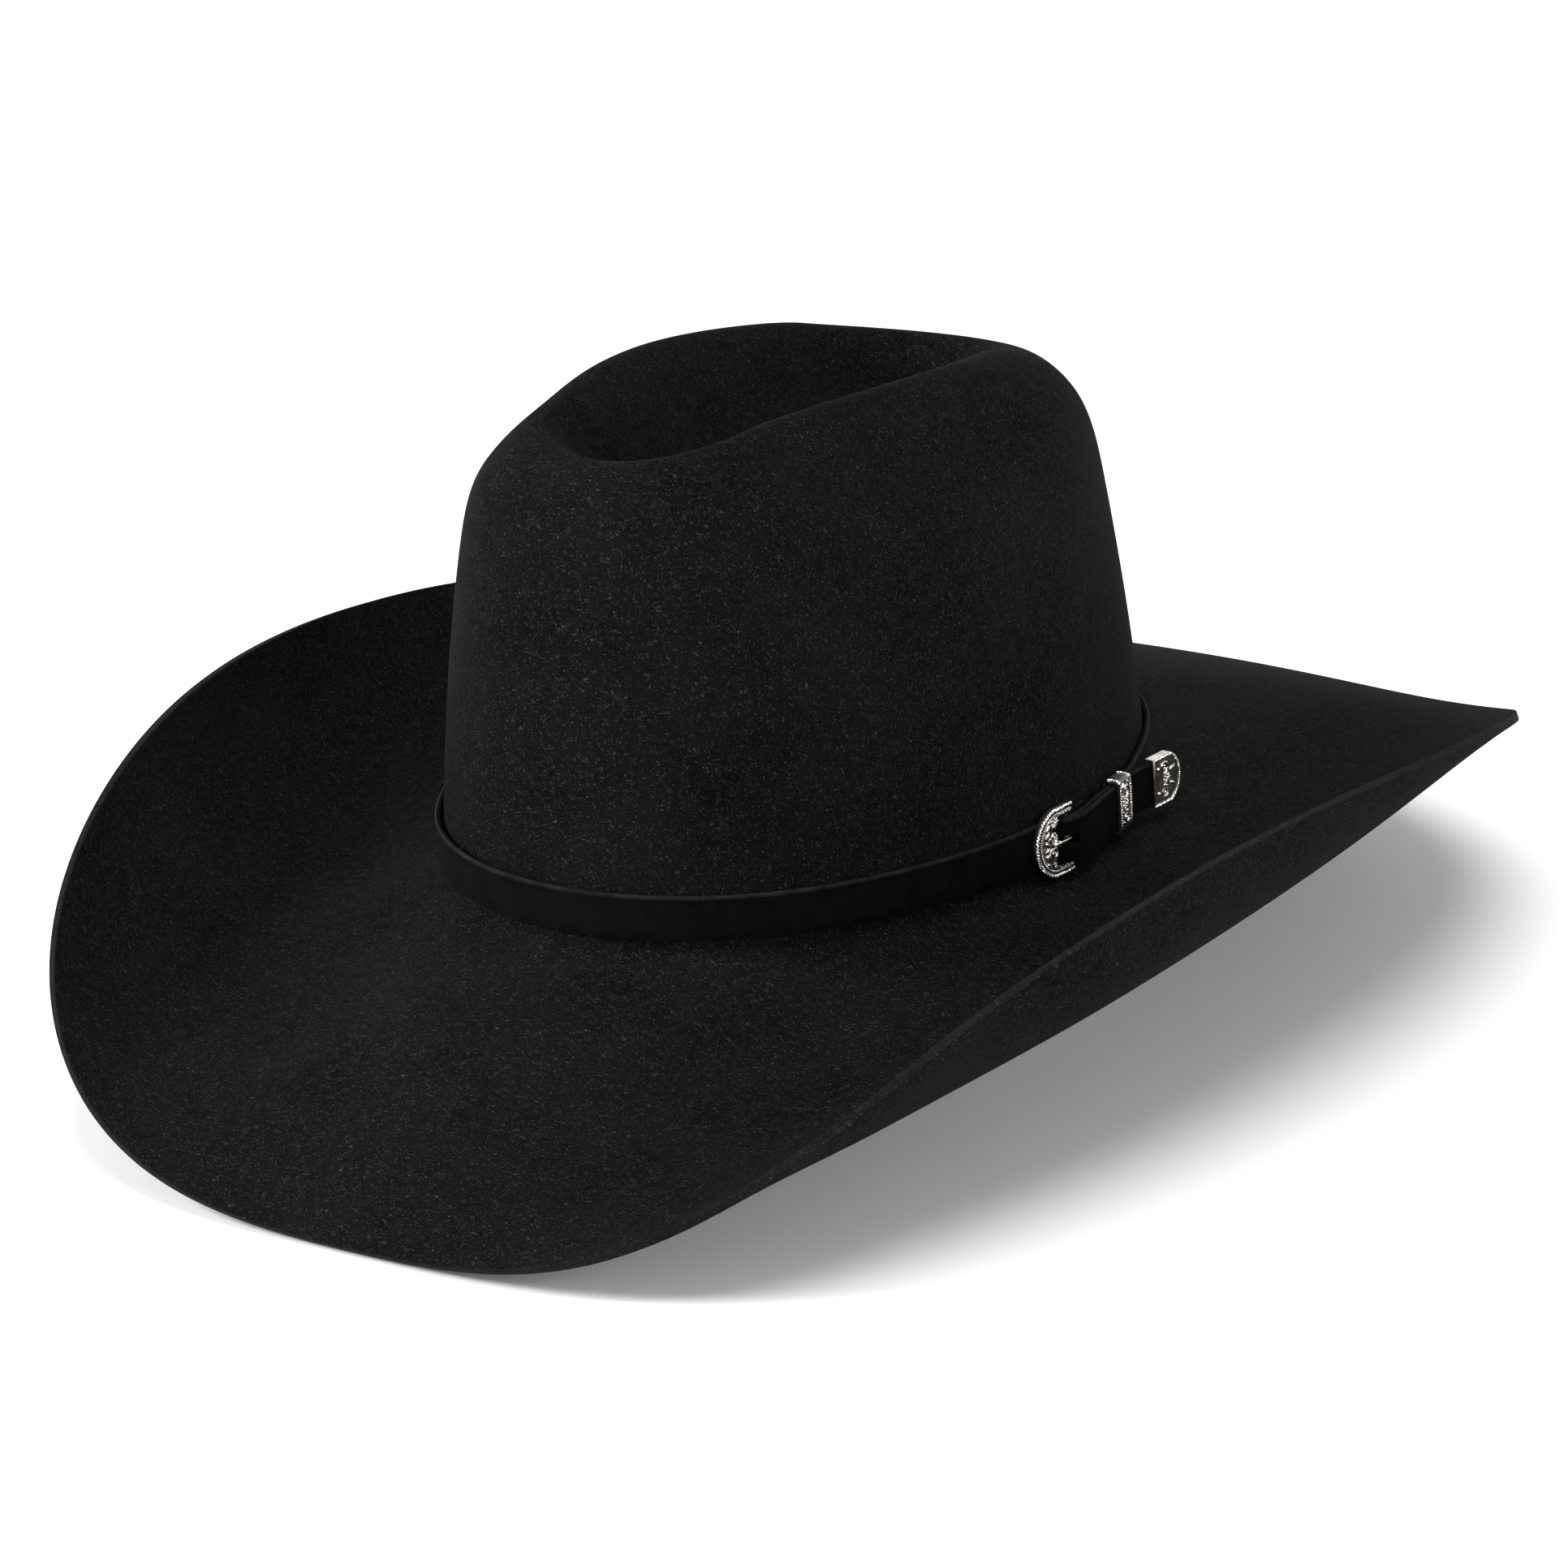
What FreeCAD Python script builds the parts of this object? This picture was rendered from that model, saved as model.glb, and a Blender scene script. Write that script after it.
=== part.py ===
import FreeCAD, Part
import math
import os

import Sketcher
from FreeCAD import Matrix, Placement, Rotation, Vector

# Felt western hat with a creased crown, a curled brim and a buckled leather hatband.
# Frame: +Z up the crown, -Y to the front of the hat, +X to the wearer's left, millimetres.
# The origin is the centre of the head opening, at the level where the brim meets the crown.

doc = FreeCAD.newDocument("western_hat")

# ---------------------------------------------------------------- driving dimensions

SIZES = [
    # head oval: four tangent arcs through the outside of the felt
    ("head_half_length", 104.5),
    ("head_half_width", 85.5),
    ("head_end_radius", 77.0),
    ("felt_thickness", 2.5),
    # brim: width and pitch round the head, as harmonics of the angle from the left side
    ("brim_width_mean", 105.5),
    ("brim_width_back_over_front", -4.8),
    ("brim_width_sides", -3.9),
    ("brim_width_third", -3.1),
    ("brim_width_fourth", -3.5),
    ("brim_root_pitch_mean", -12.8),
    ("brim_root_pitch_back", 14.8),
    ("brim_root_pitch_sides", -2.7),
    ("brim_root_pitch_third", 5.0),
    ("brim_root_pitch_fourth", 3.3),
    ("brim_root_pitch_fifth", -2.6),
    ("brim_rim_pitch_mean", 26.1),
    ("brim_rim_pitch_back", -14.6),
    ("brim_rim_pitch_sides", 63.6),
    ("brim_rim_pitch_third", -20.7),
    ("brim_rim_pitch_fourth", -3.4),
    ("brim_rim_pitch_fifth", 3.7),
    ("brim_rim_pitch_sixth", -1.4),
    ("brim_curl_power", 1.84),
    # crown crest height round the head, lean towards the back, and side dents
    ("crest_height_mean", 117.5),
    ("crest_height_back", -5.5),
    ("crest_height_sides", 5.0),
    ("crest_height_third", -0.5),
    ("crown_lean", 0.025),
    ("dent_angle", -8.0),
    ("dent_spread", 28.0),
    ("basin_height", 99.0),
    # lining and sweatband
    ("liner_gap", 0.7),
    ("liner_thickness", 0.4),
    ("liner_bottom", 20.0),
    ("liner_top", 82.0),
    ("sweatband_gap", 1.5),
    ("sweatband_thickness", 0.8),
    ("sweatband_bottom", 1.0),
    ("sweatband_top", 52.0),
    ("reed_radius", 0.75),
    ("reed_tape_thickness", 0.35),
    ("reed_inset", 5.2),
    ("reed_height", -0.7),
    ("piping_radius", 0.8),
    ("shield_half_length", 62.0),
    ("shield_half_width", 40.0),
    ("shield_thickness", 0.3),
    ("label_width", 24.0),
    ("label_height", 10.0),
    ("label_thickness", 0.3),
    ("thread_radius", 0.25),
    ("ribbon_width", 5.0),
    ("ribbon_thickness", 0.5),
    # hatband strap and its buckle set
    ("strap_width", 12.0),
    ("strap_thickness", 1.2),
    ("strap_bottom", 4.4),
    ("buckle_angle", -4.2),
    ("frame_length", 15.0),
    ("frame_height", 18.5),
    ("frame_thickness", 1.8),
    ("frame_back", 2.1),
    ("frame_rail", 2.8),
    ("toe_radius", 9.4),
    ("toe_reach", 8.5),
    ("toe_inner_edge", -1.6),
    ("bar_radius", 0.7),
    ("bar_reach", 4.5),
    ("running_clearance", 0.05),
    ("tongue_ring_radius", 1.35),
    ("tongue_ring_width", 2.2),
    ("tongue_rod_radius", 0.6),
    ("tongue_length", 6.7),
    ("keeper_reach", 31.5),
    ("keeper_length", 7.5),
    ("keeper_wall", 0.7),
    ("keeper_clearance", 0.35),
    ("tip_reach", 52.0),
    ("tip_length", 12.0),
    ("tip_wall", 0.5),
    ("tip_nose", 4.0),
    ("rivet_radius", 0.5),
]

# Crown profile, from the brim break to the basin: share of the crest height, inward step,
# further inward step at the sides, and the dents' inward step and drop.
CROWN_STATIONS = [
    (0.050, 0.0, 0.0, 0.0, 0.0),
    (0.130, 0.2, 0.0, 0.0, 0.0),
    (0.250, 1.4, 0.0, 0.0, 0.0),
    (0.400, 3.2, 0.0, 0.0, 0.0),
    (0.560, 5.2, 0.5, 0.5, 0.0),
    (0.700, 7.1, 1.0, 2.0, 0.0),
    (0.820, 8.4, 2.0, 5.0, 1.0),
    (0.910, 10.0, 5.0, 7.0, 7.0),
    (0.975, 13.0, 11.0, 6.0, 12.0),
    (1.015, 17.5, 16.0, 3.0, 8.0),
    (1.030, 22.0, 19.0, 0.0, 1.0),
    (1.030, 26.5, 20.0, 0.0, 0.0),
    (0.965, 33.0, 20.0, 0.0, 0.0),
    (0.880, 40.0, 18.0, 0.0, 0.0),
]

# Basin floor: inward step, further step at the sides and height over the basin.
BASIN_STATIONS = [
    (57.0, 8.0, 2.5),
    (66.0, 3.0, 0.3),
    (73.0, 0.0, 0.0),
    (75.0, 0.0, 0.0),
]

# Shares of the brim width at which the brim has a ring, from the rim to the break.
BRIM_STATIONS = (1.0, 0.93, 0.80, 0.65, 0.50, 0.36, 0.24, 0.14, 0.06)
RING_POINTS = 48
FOOT_STITCHES = 80
SEAM_STITCHES = 12
PITCH_STEPS = 200

sheet = doc.addObject("Spreadsheet::Sheet", "Sizes")
for row, (alias, value) in enumerate(SIZES, start=1):
    sheet.set(f"A{row}", alias)
    sheet.set(f"B{row}", str(value))
    sheet.setAlias(f"B{row}", alias)
profile_sheet = doc.addObject("Spreadsheet::Sheet", "CrownProfile")
for row, station in enumerate(CROWN_STATIONS + BASIN_STATIONS, start=1):
    for column, value in zip("ABCDE", station):
        profile_sheet.set(f"{column}{row}", str(value))
doc.recompute()


def dim(alias):
    """One driving dimension, as a plain number."""
    return float(sheet.get(alias))


def profile_row(row, count):
    """One row of the crown profile sheet."""
    return tuple(float(profile_sheet.get(f"{column}{row}")) for column in "ABCDE"[:count])


crown_rows = [profile_row(i + 1, 5) for i in range(len(CROWN_STATIONS))]
basin_rows = [profile_row(len(CROWN_STATIONS) + i + 1, 3) for i in range(len(BASIN_STATIONS))]

# ---------------------------------------------------------------- head oval

half_length = dim("head_half_length")
half_width = dim("head_half_width")
end_radius = dim("head_end_radius")
end_centre = half_length - end_radius
side_radius = (half_width**2 + end_centre**2 - end_radius**2) / (2 * (half_width - end_radius))
side_centre = side_radius - half_width
join_angle = math.atan2(end_centre, side_centre)


def oval_point(angle, outward, height):
    """Point of the head oval whose normal makes this angle with +X, moved out along it."""
    cosine, sine = math.cos(angle), math.sin(angle)
    if abs(sine) < math.sin(join_angle):
        x = -math.copysign(side_centre, cosine) + (side_radius + outward) * cosine
        y = (side_radius + outward) * sine
    else:
        x = (end_radius + outward) * cosine
        y = math.copysign(end_centre, sine) + (end_radius + outward) * sine
    return Vector(x, y, height)


def harmonics(stem, names, angle):
    """Sum of the named harmonics of one quantity round the head."""
    waves = {
        "mean": 1.0,
        "back_over_front": math.sin(angle),
        "back": math.sin(angle),
        "sides": math.cos(2 * angle),
        "third": math.sin(3 * angle),
        "fourth": math.cos(4 * angle),
        "fifth": math.sin(5 * angle),
        "sixth": math.cos(6 * angle),
    }
    return sum(dim(f"{stem}_{name}") * waves[name] for name in names)


def ring_angles():
    return [2 * math.pi * k / RING_POINTS for k in range(RING_POINTS)]


# ---------------------------------------------------------------- felt shape


def brim_profile(angle):
    """Outward run and height at every step from the break to the rim, along one normal."""
    width = harmonics("brim_width", ("mean", "back_over_front", "sides", "third", "fourth"), angle)
    waves = ("mean", "back", "sides", "third", "fourth", "fifth")
    root = math.radians(harmonics("brim_root_pitch", waves, angle))
    rim = math.radians(harmonics("brim_rim_pitch", waves + ("sixth",), angle))
    power = dim("brim_curl_power")
    step = width / PITCH_STEPS
    run, height = 0.0, 0.0
    profile = [(run, height)]
    for i in range(PITCH_STEPS):
        pitch = root + (rim - root) * ((i + 0.5) / PITCH_STEPS) ** power
        run += step * math.cos(pitch)
        height += step * math.sin(pitch)
        profile.append((run, height))
    return profile


def dent_share(angle):
    """How far into a side dent this angle is: 1 at its middle, on either side."""
    total = 0.0
    for middle in (math.radians(dim("dent_angle")), math.pi - math.radians(dim("dent_angle"))):
        away = math.degrees(math.remainder(angle - middle, 2 * math.pi))
        total += math.exp(-((away / dim("dent_spread")) ** 2))
    return total


def side_share(angle):
    """1 at the sides of the hat and 0 at its front and back."""
    return 1 - abs(math.sin(angle)) ** 2.2


def crest_height(angle):
    return harmonics("crest_height", ("mean", "back", "sides", "third"), angle)


def leaned(point):
    """The crown leans a little towards the back as it rises."""
    return point + Vector(0, dim("crown_lean") * point.z, 0)


def felt_rings():
    """Rings of control points, from the rim over the crown to the middle of the basin."""
    angles = ring_angles()
    profiles = [brim_profile(angle) for angle in angles]
    rings = []
    for share in BRIM_STATIONS:
        step = round(share * PITCH_STEPS)
        rings.append([oval_point(a, p[step][0], p[step][1]) for a, p in zip(angles, profiles)])
    rings.append([oval_point(a, 1.0, 0.0) for a in angles])
    for share, inward, side_in, dent_in, dent_drop in crown_rows:
        ring = []
        for a in angles:
            height = share * crest_height(a) - dent_drop * dent_share(a)
            outward = -inward - side_in * side_share(a) - dent_in * dent_share(a)
            ring.append(leaned(oval_point(a, outward, height)))
        rings.append(ring)
    for inward, side_in, rise in basin_rows:
        height = dim("basin_height") + rise
        rings.append([leaned(oval_point(a, -inward - side_in * side_share(a), height)) for a in angles])
    return rings


def wall_inset(angle, height):
    """How far inside the head oval the crown wall is at this height."""
    share = height / crest_height(angle)
    for low, high in zip(crown_rows, crown_rows[1:]):
        if share <= high[0]:
            break
    blend = (share - low[0]) / (high[0] - low[0])
    blend = max(blend, 0.0)
    low_inset = low[1] + low[2] * side_share(angle) + low[3] * dent_share(angle)
    high_inset = high[1] + high[2] * side_share(angle) + high[3] * dent_share(angle)
    return low_inset + blend * (high_inset - low_inset)


def wall_point(angle, inset, height):
    """Point inside the crown, this far inside the outside of its wall."""
    return leaned(oval_point(angle, -wall_inset(angle, height) - inset, height))


# ---------------------------------------------------------------- solids from rings


def lowered(rings, depth):
    """The same rings, moved to the under side of a sheet of this thickness."""
    count = len(rings[0])
    result = []
    for i, ring in enumerate(rings):
        before, after = rings[max(i - 1, 0)], rings[min(i + 1, len(rings) - 1)]
        moved = []
        for k, point in enumerate(ring):
            around = ring[(k + 1) % count] - ring[k - 1]
            along = after[k] - before[k]
            normal = around.cross(along)
            normal.normalize()
            if i == len(rings) - 1:
                normal = Vector(0, 0, 1)
            moved.append(point - normal * depth)
        result.append(moved)
    return result


def tightened(ring):
    """Control points moved out a little, so that the smooth ring passes by the given points."""
    count = len(ring)
    moved = []
    for k, point in enumerate(ring):
        bend = point * 2 - ring[k - 1] - ring[(k + 1) % count]
        moved.append(point + bend * (1 / 6))
    return moved


def ring_surface(rings):
    """Smooth surface, closed round the hat, through these rings."""
    rings = [tightened(ring) for ring in rings]
    count = len(rings)
    around = len(rings[0])
    surface = Part.BSplineSurface()
    surface.buildFromPolesMultsKnots(
        rings,
        [4] + [1] * (count - 4) + [4],
        [1] * (around + 1),
        [float(i) for i in range(count - 2)],
        [float(i) for i in range(around + 1)],
        False,
        True,
        3,
        3,
    )
    return surface


def ring_edges(surface):
    """The two closed edges of a ring surface."""
    low, high, _, _ = surface.bounds()
    return surface.uIso(low).toShape(), surface.uIso(high).toShape()


def sewn_solid(faces):
    """One closed solid from faces that share their edges."""
    shell = Part.Shell(faces)
    shell.sewShape()
    solid = Part.Solid(Part.Shell(shell.Faces))
    if solid.Volume < 0:
        solid.reverse()
    return solid


def sheet_solid(outer_rings, inner_rings, capped=False):
    """Solid between two ring surfaces; capped closes the last ring with flat faces."""
    outer, inner = ring_surface(outer_rings), ring_surface(inner_rings)
    outer_first, outer_last = ring_edges(outer)
    inner_first, inner_last = ring_edges(inner)
    faces = [outer.toShape(), inner.toShape(), Part.makeRuledSurface(outer_first, inner_first)]
    if capped:
        faces += [Part.Face(Part.Wire([outer_last])), Part.Face(Part.Wire([inner_last]))]
    else:
        faces.append(Part.makeRuledSurface(outer_last, inner_last))
    return sewn_solid(faces)


def flat_oval(points, thickness):
    """Flat plate inside one smooth closed ring of points."""
    curve = Part.BSplineCurve()
    curve.interpolate(Points=points, PeriodicFlag=True)
    return Part.Face(Part.Wire([curve.toShape()])).extrude(Vector(0, 0, thickness))


def add_shape(name, shape, placement=Placement()):
    """A sub-part whose shape this script works out from the sheet."""
    part = doc.addObject("Part::Feature", name)
    part.Label = name
    part.Shape = shape
    part.Placement = placement
    return part


def add_group(name, shapes):
    """Several separate small solids under one name."""
    return add_shape(name, Part.makeCompound(shapes))


# ---------------------------------------------------------------- places on the left side

buckle_angle = math.radians(dim("buckle_angle"))
strap_middle = dim("strap_bottom") + dim("strap_width") / 2
bar_height = dim("frame_back") + dim("frame_thickness") / 2
KEEPER_MIDDLE = 3.0


def side_point(reach, outward, height):
    """Point on the left side: reach is the arc length behind the buckle's middle."""
    return oval_point(buckle_angle + reach / side_radius, outward, height)


def frame_placement(along, out, origin):
    """Local frame with X along the strap, Y up and Z out from the crown."""
    return Placement(
        Matrix(
            along.x, 0, out.x, origin.x,
            along.y, 0, out.y, origin.y,
            0, 1, 0, origin.z,
            0, 0, 0, 1,
        )
    )


def side_placement(reach, outward, height):
    """Local frame on the left side, square to the crown."""
    angle = buckle_angle + reach / side_radius
    along = Vector(-math.sin(angle), math.cos(angle), 0)
    out = Vector(math.cos(angle), math.sin(angle), 0)
    return frame_placement(along, out, side_point(reach, outward, height))


buckle_placement = side_placement(0, 0, strap_middle)

# ---------------------------------------------------------------- sketches and bodies


def add_body(name):
    body = doc.addObject("PartDesign::Body", name)
    body.Label = name
    return body


def add_sketch(body, name, plane_role):
    """A sketch on one of the body's own origin planes."""
    sketch = body.newObject("Sketcher::SketchObject", name)
    plane = next(f for f in body.Origin.OriginFeatures if f.Role == plane_role)
    sketch.AttachmentSupport = [(plane, "")]
    sketch.MapMode = "FlatFace"
    return sketch


def bind(sketch, constraint, name, expression):
    """Name one constraint and drive it from the sheet."""
    index = sketch.addConstraint(constraint)
    sketch.renameConstraint(index, name)
    sketch.setExpression(f"Constraints.{name}", expression)


def add_rectangle(sketch, width, height, stem, width_expression, height_expression):
    """A rectangle centred on the sketch's origin."""
    corners = [
        Vector(-width / 2, -height / 2, 0),
        Vector(width / 2, -height / 2, 0),
        Vector(width / 2, height / 2, 0),
        Vector(-width / 2, height / 2, 0),
    ]
    first = len(sketch.Geometry)
    for start, end in zip(corners, corners[1:] + corners[:1]):
        sketch.addGeometry(Part.LineSegment(start, end))
    for k in range(4):
        sketch.addConstraint(Sketcher.Constraint("Coincident", first + k, 2, first + (k + 1) % 4, 1))
        direction = "Vertical" if k % 2 else "Horizontal"
        sketch.addConstraint(Sketcher.Constraint(direction, first + k))
    sketch.addConstraint(Sketcher.Constraint("Symmetric", first, 1, first + 2, 1, -1, 1))
    bind(sketch, Sketcher.Constraint("Distance", first, width), f"{stem}_width", width_expression)
    bind(sketch, Sketcher.Constraint("Distance", first + 1, height), f"{stem}_height", height_expression)


def add_symmetric_box(sketch, low, high, half):
    """A box from low to high along X, centred on the X axis."""
    corners = [
        Vector(low, -half, 0),
        Vector(high, -half, 0),
        Vector(high, half, 0),
        Vector(low, half, 0),
    ]
    for start, end in zip(corners, corners[1:] + corners[:1]):
        sketch.addGeometry(Part.LineSegment(start, end))
    for k in range(4):
        sketch.addConstraint(Sketcher.Constraint("Coincident", k, 2, (k + 1) % 4, 1))
    for k, direction in ((0, "Horizontal"), (2, "Horizontal"), (3, "Vertical")):
        sketch.addConstraint(Sketcher.Constraint(direction, k))
    sketch.addConstraint(Sketcher.Constraint("Symmetric", 1, 1, 1, 2, -1))


# ---------------------------------------------------------------- felt, sweatband and lining


def build_felt_body():
    rings = felt_rings()
    return add_shape("felt_body", sheet_solid(rings, lowered(rings, dim("felt_thickness")), True))


def inside_sheet(name, inset, thickness, low, high, rows):
    """A thin sheet that follows the inside of the crown wall between two heights."""
    heights = [low + (high - low) * i / (rows - 1) for i in range(rows)]
    outer = [[wall_point(a, inset, z) for a in ring_angles()] for z in heights]
    inner = [[wall_point(a, inset + thickness, z) for a in ring_angles()] for z in heights]
    return add_shape(name, sheet_solid(outer, inner))


def build_liner_wall():
    inset = dim("felt_thickness") + dim("liner_gap")
    return inside_sheet(
        "liner_wall", inset, dim("liner_thickness"), dim("liner_bottom"), dim("liner_top"), 10
    )


def build_sweatband():
    inset = dim("felt_thickness") + dim("sweatband_gap")
    return inside_sheet(
        "sweatband",
        inset,
        dim("sweatband_thickness"),
        dim("sweatband_bottom"),
        dim("sweatband_top"),
        8,
    )


def liner_ring(inset, height):
    """Points round the top of the lining, this far inside the felt's outside."""
    return [wall_point(a, inset, dim("liner_top")) + Vector(0, 0, height) for a in ring_angles()]


def build_liner_tip():
    inset = dim("felt_thickness") + dim("liner_gap") + 2 * dim("piping_radius") + 1.4
    rise = 2 * dim("piping_radius") - dim("liner_thickness")
    return add_shape("liner_tip", flat_oval(liner_ring(inset, rise), dim("liner_thickness")))


def build_liner_piping():
    """Covered cord along the seam between the lining's wall and its tip."""
    inset = dim("felt_thickness") + dim("liner_gap") + dim("piping_radius") + 0.6
    middle = dim("piping_radius") + 0.1
    return add_shape("liner_piping", tube_along(liner_ring(inset, middle), dim("piping_radius")))


def tube_along(points, radius):
    """Round cord along a smooth closed ring of points."""
    curve = Part.BSplineCurve()
    curve.interpolate(Points=points, PeriodicFlag=True)
    spine = Part.Wire([curve.toShape()])
    start = curve.value(curve.FirstParameter)
    direction = curve.tangent(curve.FirstParameter)[0]
    section = Part.Wire([Part.makeCircle(radius, start, direction)])
    return spine.makePipeShell([section], True, True)


def build_liner_shield():
    """Clear oval panel under the lining's tip."""
    shield = doc.addObject("Part::Extrusion", "liner_shield")
    oval = doc.addObject("Part::Ellipse", "liner_shield_outline")
    oval.setExpression("MajorRadius", "Sizes.shield_half_length")
    oval.setExpression("MinorRadius", "Sizes.shield_half_width")
    lean = dim("crown_lean") * dim("liner_top")
    oval.Placement = Placement(Vector(0, lean, dim("liner_top") + 0.4), Rotation(Vector(0, 0, 1), 90))
    shield.Base = oval
    shield.DirMode = "Normal"
    shield.Solid = True
    shield.setExpression("LengthFwd", "Sizes.shield_thickness")
    shield.Label = "liner_shield"
    return shield


def oval_ring(inset, height):
    """Points round the head opening, this far inside the felt's outside."""
    return [oval_point(a, -inset, height) for a in ring_angles()]


def build_sweatband_reed():
    """Springy round strip that holds the head opening's shape, inside its tape."""
    ring = oval_ring(dim("reed_inset"), dim("reed_height"))
    return add_shape("sweatband_reed", tube_along(ring, dim("reed_radius")))


def build_reed_tape():
    """Fabric tube round the reed, sewn to the foot of the sweatband."""
    ring = oval_ring(dim("reed_inset"), dim("reed_height"))
    inner = dim("reed_radius") + 0.02
    outer = inner + dim("reed_tape_thickness")
    return add_shape("reed_tape", tube_along(ring, outer).cut(tube_along(ring, inner)))


def build_sweatband_stitches():
    """Row of thread stitches along the foot of the sweatband."""
    inset = (
        dim("felt_thickness") + dim("sweatband_gap") + dim("sweatband_thickness") + dim("thread_radius")
    )
    stitches = []
    for k in range(FOOT_STITCHES):
        angle = 2 * math.pi * k / FOOT_STITCHES
        half = math.pi / FOOT_STITCHES * 0.62
        start = wall_point(angle - half, inset + 0.05, dim("sweatband_bottom") + 2.0)
        end = wall_point(angle + half, inset + 0.05, dim("sweatband_bottom") + 2.0)
        run = end - start
        stitches.append(Part.makeCylinder(dim("thread_radius"), run.Length, start, run))
    return add_group("sweatband_stitches", stitches)


def build_seam_stitches():
    """Zigzag thread that closes the sweatband's seam at the back."""
    inset = (
        dim("felt_thickness") + dim("sweatband_gap") + dim("sweatband_thickness") + dim("thread_radius")
    )
    first, last = dim("sweatband_bottom") + 12.0, dim("sweatband_top") - 3.0
    stitches = []
    for k in range(SEAM_STITCHES):
        low = first + (last - first) * k / SEAM_STITCHES
        high = first + (last - first) * (k + 0.8) / SEAM_STITCHES
        lean = 0.02 if k % 2 else -0.02
        start = wall_point(math.pi / 2 - lean, inset + 0.1, low)
        end = wall_point(math.pi / 2 + lean, inset + 0.1, high)
        run = end - start
        stitches.append(Part.makeCylinder(dim("thread_radius"), run.Length, start, run))
    return add_group("sweatband_seam_stitches", stitches)


def ribbon_loop(width, length, lean):
    """One loop of a bow: a flattened ring of ribbon, with its root at the origin."""
    outer = Part.Ellipse(Vector(length / 2, 0, 0), length / 2, length / 5)
    inner = Part.Ellipse(
        Vector(length / 2, 0, 0),
        length / 2 - dim("ribbon_thickness"),
        length / 5 - dim("ribbon_thickness"),
    )
    solid = Part.Face(Part.Wire([outer.toShape()])).extrude(Vector(0, 0, width))
    hollow = Part.Face(Part.Wire([inner.toShape()])).extrude(Vector(0, 0, width))
    loop = solid.cut(hollow)
    loop.translate(Vector(0, 0, -width / 2))
    loop.rotate(Vector(), Vector(0, 1, 0), lean)
    return loop


def build_sweatband_bow():
    """Small ribbon bow over the foot of the back seam."""
    inset = dim("felt_thickness") + dim("sweatband_gap") + dim("sweatband_thickness")
    place = wall_point(math.pi / 2, inset + 2.9, dim("sweatband_bottom") + 6.5)
    width = dim("ribbon_width")
    pieces = []
    for lean in (-18, 198):
        pieces.append(ribbon_loop(width, 11.0, lean))
    for side in (-1, 1):
        tail = Part.makeBox(dim("ribbon_width") - 1, dim("ribbon_thickness"), 9.0)
        tail.translate(Vector(-width / 2 + 0.5, 0.2, -9.0))
        tail.rotate(Vector(), Vector(0, 1, 0), 32 * side)
        pieces.append(tail)
    knot = Part.makeBox(4.0, 3.2, 4.6, Vector(-2.0, -1.6, -2.3))
    bow = knot.makeFillet(0.8, knot.Edges).fuse(pieces)
    return add_shape("sweatband_bow", bow, Placement(place, Rotation()))


def build_size_label():
    """Blank tag on the inner face of the sweatband, behind the wearer's left ear."""
    inset = dim("felt_thickness") + dim("sweatband_gap") + dim("sweatband_thickness") + 0.1
    middle = math.radians(62)
    half = dim("label_width") / 2 / end_radius
    low = dim("sweatband_bottom") + 12.0
    rows = 4
    faces = []
    grids = []
    for depth in (0.0, dim("label_thickness")):
        grid = []
        for i in range(rows):
            height = low + dim("label_height") * i / (rows - 1)
            angles = [middle + half * (2 * k / (rows - 1) - 1) for k in range(rows)]
            grid.append([wall_point(a, inset + depth, height) for a in angles])
        surface = Part.BSplineSurface()
        surface.interpolate(grid)
        faces.append(surface.toShape())
        grids.append(surface)
    low_u, high_u, low_v, high_v = grids[0].bounds()
    for u in (low_u, high_u):
        faces.append(Part.makeRuledSurface(grids[0].uIso(u).toShape(), grids[1].uIso(u).toShape()))
    for v in (low_v, high_v):
        faces.append(Part.makeRuledSurface(grids[0].vIso(v).toShape(), grids[1].vIso(v).toShape()))
    return add_shape("size_label", sewn_solid(faces))


# ---------------------------------------------------------------- hatband strap

# Route of the strap's middle surface at the buckle, as reach behind the buckle and height
# over the crown. The chape is the folded end, and the tail is the end with the metal tip.
CHAPE_UNDER = [(16.0, 1.4), (12.5, 1.4), (9.0, 1.5), (6.5, 1.65)]
CHAPE_OVER = [(6.5, 4.35), (9.0, 4.25), (12.0, 3.8), (15.0, 3.2), (18.5, 2.6), (22.0, 2.4)]
CHAPE_OVER += [(28.0, 2.35), (34.0, 2.35), (40.0, 2.3), (46.0, 1.9), (54.0, 1.35)]
TAIL = [(-20.0, 1.3), (-12.0, 1.2), (-8.0, 1.15), (-4.5, 1.15), (-1.6, 1.15), (0.4, 2.2)]
TAIL += [(2.2, 4.9), (4.0, 5.9), (6.5, 5.9), (9.0, 5.75), (12.0, 5.3), (15.5, 4.7)]
TAIL += [(19.5, 4.0), (24.0, 3.7), (28.0, 3.65), (32.0, 3.65), (36.0, 3.65), (38.5, 3.7)]
TAIL += [(41.5, 4.6), (45.0, 6.0), (48.0, 7.15), (51.0, 8.35), (53.3, 9.35)]
HUGGING = 1.3
ROUND_STEPS = 64
FOLD_STEP = math.radians(30)


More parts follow.
